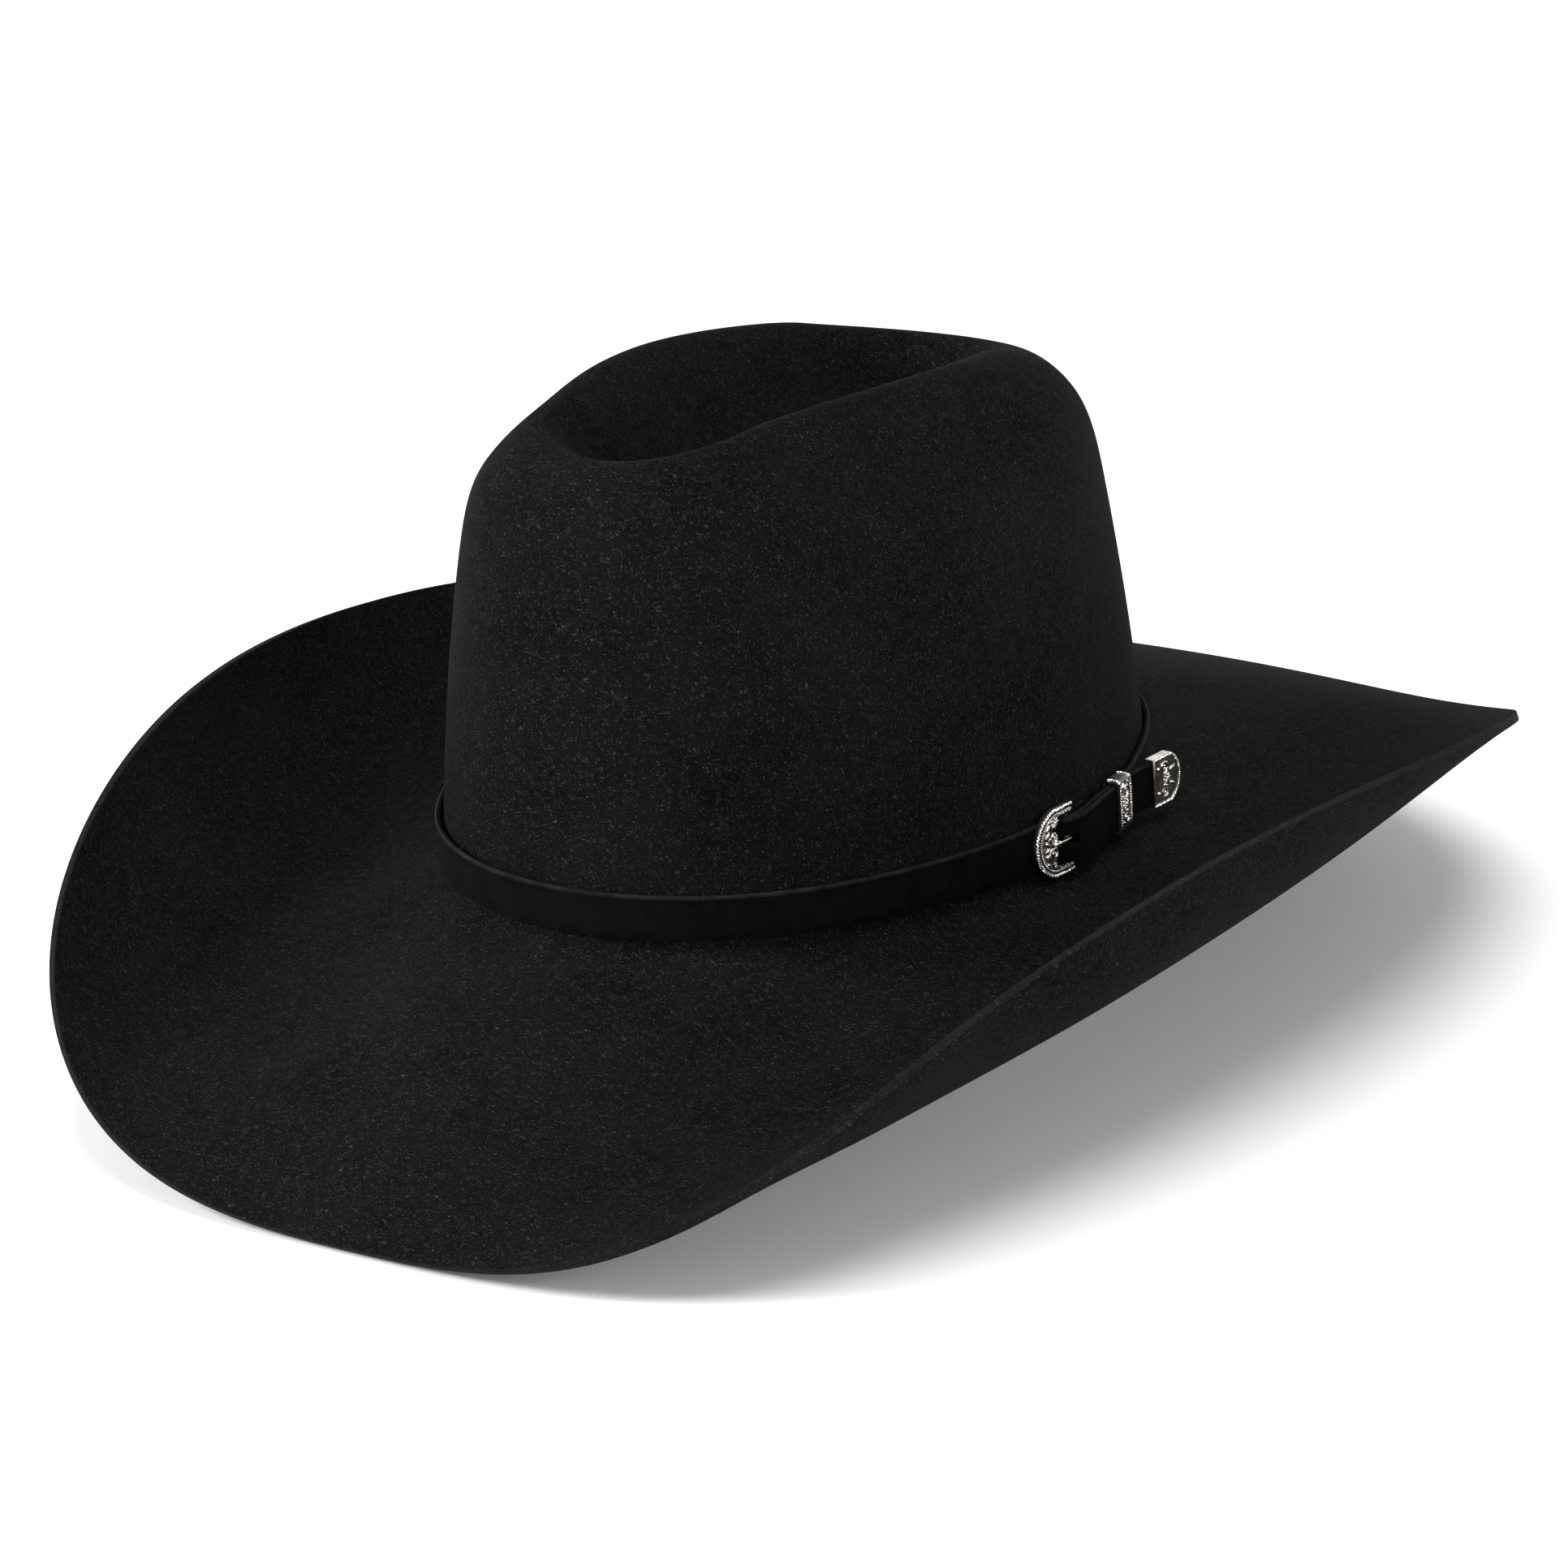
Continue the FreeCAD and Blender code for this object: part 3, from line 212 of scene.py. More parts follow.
def lowered(rings, depth):
    """The under side of a sheet whose upper side is these rings."""
    count = len(rings[0])
    result = []
    for i, ring in enumerate(rings):
        before, after = neighbours(rings, i)
        moved = []
        for k, point in enumerate(ring):
            normal = (ring[(k + 1) % count] - ring[k - 1]).cross(after[k] - before[k])
            normal.normalize()
            if i == len(rings) - 1:
                normal = vec(0, 0, 1)
            moved.append(point - normal * depth)
        result.append(moved)
    return result


def tightened(ring):
    """Control points moved out a little, so that the smooth ring passes by the given points."""
    count = len(ring)
    return [p + (p * 2 - ring[k - 1] - ring[(k + 1) % count]) / 6 for k, p in enumerate(ring)]


# ---- mesh building


class Build:
    """Points and faces of one piece, gathered from several shapes."""

    def __init__(self):
        self.points, self.faces, self.slots = [], [], []

    def add(self, shape, slot=0, place=None):
        points, faces = shape
        start = len(self.points)
        self.points += [place @ p for p in points] if place else list(points)
        self.faces += [[start + i for i in face] for face in faces]
        self.slots += [slot] * len(faces)

    def piece(self, name, body, node, slot, materials, levels=0, place=None, sharp=35):
        """One visible piece that rides on a body and stands for a CAD node."""
        mesh = bpy.data.meshes.new(name)
        points = [place @ p for p in self.points] if place else self.points
        mesh.from_pydata([p * MM for p in points], [], self.faces)
        for material in materials:
            mesh.materials.append(material)
        for polygon, index in zip(mesh.polygons, self.slots):
            polygon.material_index = index
            polygon.use_smooth = True
        mesh.update()
        if sharp:
            mesh.set_sharp_from_angle(angle=radians(sharp))
        obj = link(name, mesh)
        if levels:
            subdivide = obj.modifiers.new("smooth", "SUBSURF")
            subdivide.levels = subdivide.render_levels = levels
        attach(obj, body)
        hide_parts(node)
        return obj


def bridge(low, high, count, flip=False):
    """Quads between two rings of points that start at these numbers."""
    faces = []
    for k in range(count):
        n = (k + 1) % count
        face = [low + k, low + n, high + n, high + k]
        faces.append([face[0], *face[:0:-1]] if flip else face)
    return faces


def ring_faces(rows, count, flip=False, first=0):
    """Quads between rings of points that follow one another."""
    faces = []
    for i in range(rows - 1):
        faces += bridge(first + i * count, first + (i + 1) * count, count)
    return [face[::-1] for face in faces] if flip else faces


def end_faces(rows, count):
    """The two faces that close the first and the last ring."""
    last = (rows - 1) * count
    return [list(range(count))[::-1], list(range(last, last + count))]


def sheet_shape(outer, inner, top_closed=False):
    """A closed sheet between two sets of rings, outside first."""
    rows, count = len(outer), len(outer[0])
    points = [p for ring in outer + inner for p in ring]
    half, last = rows * count, (rows - 1) * count
    faces = ring_faces(rows, count) + ring_faces(rows, count, True, half)
    faces += bridge(0, half, count, True)
    if top_closed:
        faces.append([last + k for k in range(count)])
        faces.append([half + last + k for k in range(count)][::-1])
    else:
        faces += bridge(last, half + last, count)
    return points, faces


def tube(path, radii, sides=10, closed=False):
    """A round tube along a path, with rounded ends when it is open."""
    count = len(path)
    if not isinstance(radii, (list, tuple)):
        radii = [radii] * count
    tangents = []
    for i in range(count):
        before = path[i - 1] if closed or i else path[i]
        after = path[(i + 1) % count] if closed or i < count - 1 else path[i]
        tangents.append((after - before).normalized())
    side = tangents[0].orthogonal().normalized()
    sections = []
    for point, tangent, radius in zip(path, tangents, radii):
        side = (side - tangent * side.dot(tangent)).normalized()
        sections.append((point, tangent, side.copy(), radius))
    if not closed:
        for end, sign in ((0, -1), (-1, 1)):
            point, tangent, across, radius = sections[end]
            cap = []
            for degrees in (35, 65, 85):
                turn = radians(degrees)
                moved = point + tangent * (sign * radius * sin(turn))
                cap.append((moved, tangent, across, radius * cos(turn)))
            sections = cap[::-1] + sections if sign < 0 else sections + cap
    points = []
    for point, tangent, across, radius in sections:
        up = tangent.cross(across)
        for k in range(sides):
            turn = 2 * pi * k / sides
            points.append(point + (across * cos(turn) + up * sin(turn)) * radius)
    faces = ring_faces(len(sections), sides)
    if closed:
        faces += bridge((len(sections) - 1) * sides, 0, sides)
    else:
        faces += end_faces(len(sections), sides)
    return points, faces


def resampled(path, step):
    """The same line as evenly spaced points."""
    lengths = [0.0]
    for a, b in zip(path, path[1:]):
        lengths.append(lengths[-1] + (b - a).length)
    count = max(2, round(lengths[-1] / step))
    result, at = [], 0
    for k in range(count + 1):
        want = lengths[-1] * k / count
        while at < len(lengths) - 2 and lengths[at + 1] < want:
            at += 1
        span = max(lengths[at + 1] - lengths[at], 1e-9)
        result.append(path[at].lerp(path[at + 1], (want - lengths[at]) / span))
    return result


def rope(path, radius, pitch, up=vec(0, 0, 1)):
    """Two strands twisted together along a path."""
    line = resampled(path, pitch / 8)
    shapes = []
    for strand in range(2):
        points, travelled = [], 0.0
        for i, point in enumerate(line):
            before, after = neighbours(line, i)
            tangent = (after - before).normalized()
            across = tangent.cross(up).normalized()
            rise = across.cross(tangent)
            turn = 2 * pi * travelled / pitch + pi * strand
            shift = (across * cos(turn) + rise * sin(turn)) * radius * 0.5
            points.append(point + shift)
            if i < len(line) - 1:
                travelled += (line[i + 1] - point).length
        shapes.append(tube(points, radius * 0.58, 7))
    return shapes


def dome(centre, length, width, height, turn=0.0, taper=0.0):
    """A low rounded boss: a petal, a leaf or a bead."""
    around, rows = 12, 4
    points = []
    cosine, sine = cos(turn), sin(turn)
    for j in range(rows):
        lift = radians(88) * j / (rows - 1)
        for k in range(around):
            angle = 2 * pi * k / around
            u = cos(angle) * cos(lift)
            v = sin(angle) * cos(lift) * (1 - taper * u)
            x, y = u * length / 2, v * width / 2
            offset = vec(x * cosine - y * sine, x * sine + y * cosine, height * sin(lift))
            points.append(centre + offset)
    faces = ring_faces(rows, around)
    faces.append([(rows - 1) * around + k for k in range(around)])
    return points, faces


def spiral(centre, start_radius, turns, degrees, hand, thick, thin, height):
    """A scroll: a tapering coil that ends in a bead."""
    path, radii = [], []
    steps = int(26 * turns)
    for i in range(steps + 1):
        share = i / steps
        radius = start_radius * (1 - share) ** 0.85 + 0.28
        angle = radians(degrees) + hand * 2 * pi * turns * share
        path.append(centre + vec(radius * cos(angle), radius * sin(angle), height))
        radii.append(thick + (thin - thick) * share)
    radii[-1] = radii[-2] = thin * 1.7
    return tube(path, radii, 8)


def plate(outline, low, high, bevel, border=0.0, sink=0.0):
    """A flat solid inside an outline, with softened edges and perhaps a sunk field in its face."""
    work = bmesh.new()
    base = work.faces.new([work.verts.new((x, y, low)) for x, y in outline])
    grown = bmesh.ops.extrude_face_region(work, geom=[base])
    top = {v for v in grown["geom"] if isinstance(v, bmesh.types.BMVert)}
    for vert in top:
        vert.co.z = high
    bmesh.ops.recalc_face_normals(work, faces=work.faces)
    rims = [e for e in work.edges if (e.verts[0] in top) == (e.verts[1] in top)]
    bmesh.ops.bevel(work, geom=rims, offset=bevel, segments=3, profile=0.5, affect="EDGES")
    sunk = []
    if sink:
        face = max((f for f in work.faces if f.normal.z > 0.9), key=lambda f: f.calc_area())
        for width, depth in ((border, 0.0), (0.12, -sink)):
            wall = bmesh.ops.inset_region(
                work, faces=[face], thickness=width, depth=depth, use_even_offset=True
            )
        sunk = [face] + list(wall["faces"])
    work.verts.index_update()
    points = [v.co.copy() for v in work.verts]
    raised = [[v.index for v in f.verts] for f in work.faces if f not in sunk]
    field = [[v.index for v in f.verts] for f in sunk]
    work.free()
    return (points, raised), (points, field)


THREAD_SWELL = (0.7, 0.95, 1.05, 1.1, 1.05, 0.95, 0.7)


def thread(start, end, radius, lift):
    """One stitch: a short thread that bows up and dives in at both ends."""
    path = []
    for i in range(len(THREAD_SWELL)):
        share = i / (len(THREAD_SWELL) - 1)
        path.append(start.lerp(end, share) + lift * sin(pi * share) ** 0.6)
    return tube(path, [radius * swell for swell in THREAD_SWELL], 8)


# ---- materials


class Look:
    """One procedural material: a Principled shader fed by noise nodes in the piece's own space."""

    def __init__(self, name, roughness, **sockets):
        self.material = bpy.data.materials.new(name)
        self.material.use_nodes = True
        self.tree = self.material.node_tree
        self.shader = self.tree.nodes["Principled BSDF"]
        self.shader.inputs["Roughness"].default_value = roughness
        for socket, value in sockets.items():
            self.shader.inputs[socket.replace("_", " ")].default_value = value
        self.place = self.tree.nodes.new("ShaderNodeTexCoord").outputs["Object"]
        self.normal = None

    def feed(self, socket, value):
        if isinstance(value, bpy.types.NodeSocket):
            self.tree.links.new(value, socket)
        else:
            socket.default_value = value

    def node(self, kind, inputs=(), **settings):
        node = self.tree.nodes.new(kind)
        for key, value in settings.items():
            setattr(node, key, value)
        for socket, value in dict(inputs).items():
            self.feed(node.inputs[socket], value)
        return node

    def stretched(self, x, y, z):
        inputs = {"Vector": self.place, "Scale": (x, y, z)}
        return self.node("ShaderNodeMapping", inputs).outputs["Vector"]

    def noise(self, scale, detail=2.0, rough=0.5, distortion=0.0, vector=None):
        inputs = {"Vector": vector or self.place, "Scale": scale, "Detail": detail}
        inputs |= {"Roughness": rough, "Distortion": distortion}
        return self.node("ShaderNodeTexNoise", inputs).outputs["Fac"]

    def cracks(self, scale, vector=None):
        """Distance to the edges between cells."""
        inputs = {"Vector": vector or self.place, "Scale": scale}
        node = self.node("ShaderNodeTexVoronoi", inputs, feature="DISTANCE_TO_EDGE")
        return node.outputs["Distance"]

    def wave(self, scale, distortion, direction):
        inputs = {"Vector": self.place, "Scale": scale, "Distortion": distortion}
        return self.node("ShaderNodeTexWave", inputs, bands_direction=direction).outputs["Fac"]

    def ramp(self, value, *two_stops):
        node = self.node("ShaderNodeValToRGB", {"Fac": value})
        for element, (position, colour) in zip(node.color_ramp.elements, two_stops):
            element.position, element.color = position, (*colour, 1)
        return node.outputs["Color"]

    def fade(self, value, low, high):
        """A share that rises from 0 to 1 between two levels."""
        return self.ramp(value, (low, (0, 0, 0)), (high, (1, 1, 1)))

    def mix(self, share, a, b, how="MIX"):
        node = self.node("ShaderNodeMix", data_type="RGBA", blend_type=how)
        for index, value in ((0, share), (6, a), (7, b)):
            self.feed(node.inputs[index], value)
        return node.outputs[2]

    def math(self, how, a, b):
        return self.node("ShaderNodeMath", {0: a, 1: b}, operation=how).outputs[0]

    def remap(self, value, low, high):
        inputs = {"Value": value, "To Min": low, "To Max": high}
        return self.node("ShaderNodeMapRange", inputs).outputs[0]

    def bump(self, height, strength, distance):
        inputs = {"Height": height, "Strength": strength, "Distance": distance}
        if self.normal:
            inputs["Normal"] = self.normal
        self.normal = self.node("ShaderNodeBump", inputs).outputs["Normal"]
        self.feed(self.shader.inputs["Normal"], self.normal)

    def made(self, colour, roughness, *bumps):
        """The material, with roughness as (source, low, high) and bumps from coarse to fine."""
        self.feed(self.shader.inputs["Base Color"], colour)
        if roughness:
            self.feed(self.shader.inputs["Roughness"], self.remap(*roughness))
        for bump in bumps:
            self.bump(*bump)
        return self.material


def napped(name, roughness, gloss, sheen, sheen_roughness):
    """A soft napped surface with a cool sheen."""
    look = Look(name, roughness, Specular_IOR_Level=gloss, Sheen_Weight=sheen)
    look.shader.inputs["Sheen Roughness"].default_value = sheen_roughness
    look.shader.inputs["Sheen Tint"].default_value = (0.80, 0.82, 1.0, 1)
    return look


def felt_look(name, dark, light, fleck, sheen):
    """Short-napped fur felt: cloudy near-black with pale fibre flecks."""
    look = napped(name, 0.9, 0.03, sheen, 0.45)
    cloud = look.noise(28.0, 4.0, 0.6)
    nap = look.noise(1500.0, 3.0, 0.7, 0.6)
    fibres = look.noise(980.0, 2.5, 0.72, 1.5, look.stretched(1.0, 2.2, 1.5))
    body = look.mix(look.fade(cloud, 0.3, 0.7), dark, light)
    mottle = look.noise(330.0, 3.0, 0.65, 0.8)
    body = look.mix(look.fade(mottle, 0.42, 0.66), body, light)
    flecks = look.fade(fibres, 0.58, 0.72)
    colour = look.mix(flecks, body, fleck)
    return look.made(
        colour, (nap, 0.78, 1.0), (cloud, 0.25, 0.0012), (nap, 0.55, 0.0003), (fibres, 0.35, 0.0003)
    )


def suede_look(name, dark, light, sheen):
    """Brushed split leather: very fine, even nap with faint strokes."""
    look = napped(name, 0.95, 0.04, sheen, 0.35)
    strokes = look.noise(160.0, 3.0, 0.6, 0.8)
    nap = look.noise(3200.0, 2.0, 0.6)
    colour = look.mix(look.fade(strokes, 0.35, 0.7), dark, light)
    return look.made(colour, (nap, 0.85, 1.0), (strokes, 0.15, 0.0002), (nap, 0.4, 0.0001))


def silver_look(name, bright, tarnish, rough_low, rough_high, metal):
    """Worn antiqued metal: tarnish in patches, fine scratches and small dings."""
    look = Look(name, 0.3, Metallic=metal)
    patches = look.noise(420.0, 4.0, 0.6)
    scratches = look.noise(900.0, 2.0, 0.5, 0.0, look.stretched(1.0, 7.0, 1.0))
    dings = look.noise(1500.0, 2.0, 0.5)
    share = look.fade(patches, 0.42, 0.72)
    colour = look.mix(share, bright, tarnish)
    return look.made(
        colour,
        (scratches, rough_low, rough_high),
        (scratches, 0.12, 0.00004),
        (dings, 0.25, 0.00006),
    )


def leather_look():
    """Thin tan sweatband leather: pebbled grain, creases and darker handling marks."""
    look = Look("sweatband leather", 0.5, Specular_IOR_Level=0.45, Coat_Weight=0.08)
    look.shader.inputs["Coat Roughness"].default_value = 0.4
    patches = look.noise(22.0, 5.0, 0.6)
    grain = look.cracks(1100.0)
    pores = look.noise(2600.0, 2.0, 0.6)
    creases = look.cracks(150.0, look.stretched(1.0, 1.0, 2.4))
    blotches = look.fade(patches, 0.3, 0.72)
    tan = look.mix(blotches, (0.150, 0.062, 0.024, 1), (0.245, 0.112, 0.046, 1))
    lines = look.ramp(grain, (0.0, (0.55, 0.52, 0.5)), (0.12, (1, 1, 1)))
    colour = look.mix(1.0, tan, lines, "MULTIPLY")
    return look.made(
        colour,
        (patches, 0.38, 0.62),
        (look.fade(creases, 0.0, 0.06), 0.12, 0.0003),
        (look.fade(grain, 0.0, 0.2), 0.4, 0.00015),
        (pores, 0.15, 0.0001),
    )


def satin_look(name, base, shade, roughness):
    """Woven satin: long floats that catch the light, a fine weave and soft creases, with painted
    shade in their hollows.
    """
    look = Look(name, roughness, Specular_IOR_Level=0.6, Sheen_Weight=0.4, Sheen_Roughness=0.3)
    look.shader.inputs["Anisotropic"].default_value = 0.4
    weave = look.wave(1400.0, 0.4, "Z")
    floats = look.noise(1500.0, 2.0, 0.5, 0.0, look.stretched(1.0, 1.0, 0.12))
    soft = look.noise(35.0, 3.0, 0.5)
    # Painted shade: the colour darkens where the crease bump dips.
    colour = look.mix(look.fade(soft, 0.3, 0.7), shade, base)
    return look.made(
        colour,
        (floats, roughness - 0.08, roughness + 0.12),
        (soft, 0.2, 0.001),
        (weave, 0.25, 0.00005),
        (floats, 0.2, 0.00008),
    )


def thread_look(name, base, dark):
    """Twisted sewing thread."""
    look = Look(name, 0.6, Specular_IOR_Level=0.15)
    twist = look.wave(900.0, 2.0, "DIAGONAL")
    colour = look.mix(look.fade(twist, 0.25, 0.75), dark, base)
    return look.made(colour, (look.noise(4000.0), 0.5, 0.75), (twist, 0.5, 0.0001))


def cloth_look(name, base, dark, scale, roughness=0.75):
    """Plain-woven cloth or grosgrain: crossing ribs."""
    look = Look(name, roughness, Sheen_Weight=0.25, Sheen_Roughness=0.4)
    lengthwise, crosswise = (look.wave(scale, 0.3, axis) for axis in "XY")
    upright = look.wave(scale * 0.8, 0.3, "Z")
    weave = look.math("MULTIPLY", look.math("ADD", lengthwise, crosswise), 0.5)
    weave = look.math("MULTIPLY", weave, upright)
    colour = look.mix(look.fade(weave, 0.1, 0.6), dark, base)
    return look.made(
        colour, (look.noise(700.0), roughness - 0.1, roughness + 0.1), (weave, 0.5, 0.00012)
    )


def clear_look():
    """Clear flexible plastic with faint waviness and handling haze."""
    look = Look("clear panel", 0.12, Transmission_Weight=0.92, IOR=1.45)
    haze = look.noise(40.0)
    colour = look.ramp(haze, (0.3, (0.93, 0.95, 0.95)), (0.7, (0.99, 0.99, 0.99)))
    return look.made(colour, (look.noise(60.0, 4.0), 0.05, 0.22), (look.noise(25.0), 0.2, 0.0006))


def plastic_look():
    """Drawn plastic strip."""
    look = Look("reed plastic", 0.4)
    streaks = look.noise(90.0)
    colour = look.ramp(streaks, (0.3, (0.55, 0.53, 0.48)), (0.7, (0.66, 0.64, 0.58)))
    return look.made(colour, (look.noise(500.0), 0.32, 0.5), (look.noise(800.0), 0.2, 0.0001))


FELT_LOOK = felt_look(
    "black felt",
    dark=(0.0009, 0.0008, 0.0009, 1),
    light=(0.0046, 0.0042, 0.0046, 1),
    fleck=(0.056, 0.051, 0.058, 1),
    sheen=0.004,
)
# A lighter copy of the felt for the brim's cut rim: its lighter colour is a painted highlight along
# the edge.
FELT_EDGE_HIGHLIGHT = felt_look(
    "cut felt edge painted highlight",
    dark=(0.0034, 0.0032, 0.0036, 1),
    light=(0.0080, 0.0076, 0.0086, 1),
    fleck=(0.045, 0.042, 0.047, 1),
    sheen=0.02,
)
SUEDE = suede_look("band suede", (0.0018, 0.0017, 0.0019, 1), (0.0036, 0.0035, 0.0038, 1), 0.006)
# The band's raised top edge in a lighter suede: its lighter colour is a painted highlight along the
# edge.
SUEDE_EDGE_HIGHLIGHT = suede_look("band edge painted highlight", (0.0060, 0.0058, 0.0066, 1), (0.016, 0.0155, 0.018, 1), 0.05)
SILVER = silver_look(
    "bright silver", (0.92, 0.89, 0.84, 1), (0.58, 0.54, 0.48, 1), 0.14, 0.32, 1.0
)
TARNISH = silver_look(
    "oxidised silver", (0.24, 0.225, 0.21, 1), (0.045, 0.042, 0.040, 1), 0.28, 0.5, 0.9
)
LEATHER = leather_look()
# Each satin's second colour is the painted shade in its crease hollows.
SATIN = satin_look("ivory satin", (0.80, 0.74, 0.62, 1), (0.66, 0.58, 0.45, 1), 0.34)
PIPING = satin_look("gold piping", (0.52, 0.36, 0.12, 1), (0.36, 0.23, 0.07, 1), 0.40)
THREAD_TAN = thread_look("tan thread", (0.50, 0.33, 0.17, 1), (0.26, 0.15, 0.07, 1))
THREAD_BLACK = thread_look(
    "black thread", (0.0050, 0.0050, 0.0055, 1), (0.0020, 0.0020, 0.0022, 1)
)
TAPE = cloth_look("reed tape", (0.13, 0.075, 0.038, 1), (0.060, 0.032, 0.016, 1), 520.0)
RIBBON = cloth_look("bow ribbon", (0.030, 0.029, 0.033, 1), (0.010, 0.010, 0.011, 1), 700.0, 0.5)
LABEL = cloth_look("woven label", (0.62, 0.60, 0.54, 1), (0.40, 0.38, 0.33, 1), 900.0)
CLEAR = clear_look()
REED = plastic_look()

# ---- felt

outer_rings = [tightened(ring) for ring in felt_rings()]
inner_rings = [tightened(ring) for ring in lowered(felt_rings(), FELT)]
felt = Build()
felt.add(sheet_shape(outer_rings, inner_rings, True))
rim_start = 2 * (len(outer_rings) - 1) * FELT_COLUMNS
# The rim faces take the lighter edge felt, a painted highlight along the brim's edge.
felt.slots = [int(rim_start <= i < rim_start + FELT_COLUMNS) for i in range(len(felt.faces))]
felt_piece = felt.piece(
    "felt_hat", "hat", "felt_body", "felt", [FELT_LOOK, FELT_EDGE_HIGHLIGHT], FELT_LEVELS, sharp=0
)
crease = felt_piece.data.attributes.new("crease_edge", "FLOAT", "EDGE")
under = len(outer_rings) * FELT_COLUMNS
for edge in felt_piece.data.edges:
    a, b = sorted(edge.vertices)
    on_rim = b < FELT_COLUMNS or under <= a and b < under + FELT_COLUMNS
    crease.data[edge.index].value = RIM_CREASE if on_rim else 0.0

# ---- inside: sweatband and lining

BAND_INSET, BAND_DEPTH = FELT + 1.5, 0.8
INSIDE = BAND_INSET + BAND_DEPTH
LINER_INSET = FELT + 0.7
FOOT_STITCHES, SEAM_STITCHES = 80, 12
PIPING_POINTS, TAPE_POINTS = 480, 288


def wall_sheet(inset, thickness, low, high, rows, count, ripple):
    """Rings of a thin sheet inside the crown; ripple moves a point inwards."""
    outer, inner = [], []
    for i in range(rows):
        share = i / (rows - 1)
        height = low + (high - low) * share
        insets = [(a, inset + ripple(a, share)) for a in round_angles(count)]
        outer.append([wall_point(a, depth, height) for a, depth in insets])
        inner.append([wall_point(a, depth + thickness, height) for a, depth in insets])
    return sheet_shape(outer, inner)


def leather_ripple(angle, share):
    """The band's free top edge stands off the lining a little, unevenly."""
    wander = noise.noise(vec(3.1 * cos(angle), 3.1 * sin(angle), 0.4))
    return 0.5 * share**2 * (0.6 + wander)


def satin_ripple(angle, share):
    """Small gathers that deepen towards the lining's top seam."""
    wander = noise.noise(vec(5 * cos(angle), 5 * sin(angle), share))
    return (0.06 + 0.42 * share**1.5) * (0.5 + 0.5 * sin(angle * 74 + 2.2 * wander))


band = Build()
band.add(wall_sheet(BAND_INSET, BAND_DEPTH, 1.0, 52.0, 14, 96, leather_ripple))
band.piece("sweatband_leather", "hat", "sweatband", "sweatband_leather", [LEATHER], 1)

lining = Build()
lining.add(wall_sheet(LINER_INSET, 0.35, 20.0, LINER_TOP, 26, 592, satin_ripple))
liner = lining.piece("lining_wall", "hat", "liner_wall", "satin", [SATIN], sharp=0)


def disc(ring, depth, rise):
    """A shallow domed panel inside a ring, with its back."""
    rows = 14
    middle = sum(ring, Vector()) / len(ring)
    points, faces = [], []
    for side in (0.0, depth):
        for i in range(rows):
            share = 1 - i / rows
            for k, p in enumerate(ring):
                lift = rise * (1 - share**2) + 0.10 * share**3 * sin(k * 1.57)
                points.append(middle.lerp(p, share) + vec(0, 0, lift + side))
        points.append(middle + vec(0, 0, rise + side))
    count = len(ring)
    block = rows * count + 1
    for side in (0, 1):
        faces += ring_faces(rows, count, side == 0, side * block)
        last, centre = side * block + (rows - 1) * count, side * block + rows * count
        for k in range(count):
            face = [last + k, last + (k + 1) % count, centre]
            faces.append(face[::-1] if side == 0 else face)
    return points, faces + bridge(0, block, count)


def top_ring(inset, rise, count=192):
    return [wall_point(a, inset, LINER_TOP) + vec(0, 0, rise) for a in round_angles(count)]


tip = Build()
tip.add(disc(top_ring(LINER_INSET + 1.1, 1.85), 0.4, 2.4))
tip.piece("lining_tip", "hat", "liner_tip", "satin", [SATIN], sharp=0)

piping = Build()
piping_path = []
for k, point in enumerate(top_ring(LINER_INSET + 0.8 + 0.1, 0.9, PIPING_POINTS)):
    piping_path.append(point + vec(0, 0, 0.05 * sin(k * 0.9)))
radii = [0.76 + 0.05 * sin(k * 1.31) for k in range(PIPING_POINTS)]
piping.add(tube(piping_path, radii, 12, True))
piping.piece("lining_piping", "hat", "liner_piping", "piping", [PIPING], sharp=0)

tape = Build()
tape_path = [oval_point(a, -5.2, -0.7) for a in round_angles(TAPE_POINTS)]
radii = [1.10 + 0.03 * sin(k * 0.8) for k in range(TAPE_POINTS)]
tape.add(tube(tape_path, radii, 14, True))
tape.piece("reed_tape_cloth", "hat", "reed_tape", "tape_fabric", [TAPE], sharp=0)


def sew(name, node, slot, look, radius, stitches):
    """One piece made of stitches, each given as its start, its end and its lift."""
    build = Build()
    for start, end, lift in stitches:
        build.add(thread(start, end, radius, lift))
    build.piece(name, "hat", node, slot, [look], sharp=0)


stitches = []
for angle in round_angles(FOOT_STITCHES):
    half = pi / FOOT_STITCHES * 0.66
    ends = []
    for turn in (angle - half, angle + half):
        ends.append(wall_point(turn, INSIDE + 0.12, 3.0 + RNG.uniform(-0.06, 0.06)))
    stitches.append((*ends, vec(-cos(angle), -sin(angle), 0) * 0.22))
sew("foot_stitches", "sweatband_stitches", "thread_tan", THREAD_TAN, 0.24, stitches)

stitches = []
for k in range(SEAM_STITCHES):
    low = 13.0 + 36.0 * k / SEAM_STITCHES
    lean = 0.02 if k % 2 else -0.02
    start = wall_point(pi / 2 - lean, INSIDE + 0.3, low)
    end = wall_point(pi / 2 + lean, INSIDE + 0.3, low + 2.4)
    stitches.append((start, end, vec(0, -0.2, 0)))
sew("back_seam_stitches", "sweatband_seam_stitches", "thread_tan", THREAD_TAN, 0.25, stitches)


def ribbon(path, width_axis, width, thickness):
    """A flat ribbon along a path, slightly cupped across its width."""
    across, cup = 6, 0.12
    shares = [k / across * 2 - 1 for k in range(across + 1)]
    section = [(u, thickness / 2) for u in shares] + [(u, -thickness / 2) for u in shares[::-1]]
    points = []
    for i, p in enumerate(path):
        before, after = neighbours(path, i)
        normal = (after - before).cross(width_axis).normalized()
        for u, rise in section:
            points.append(p + width_axis * (u * width / 2) + normal * (rise + cup * (1 - u * u)))
    rows, count = len(path), len(section)
    return points, ring_faces(rows, count) + end_faces(rows, count)


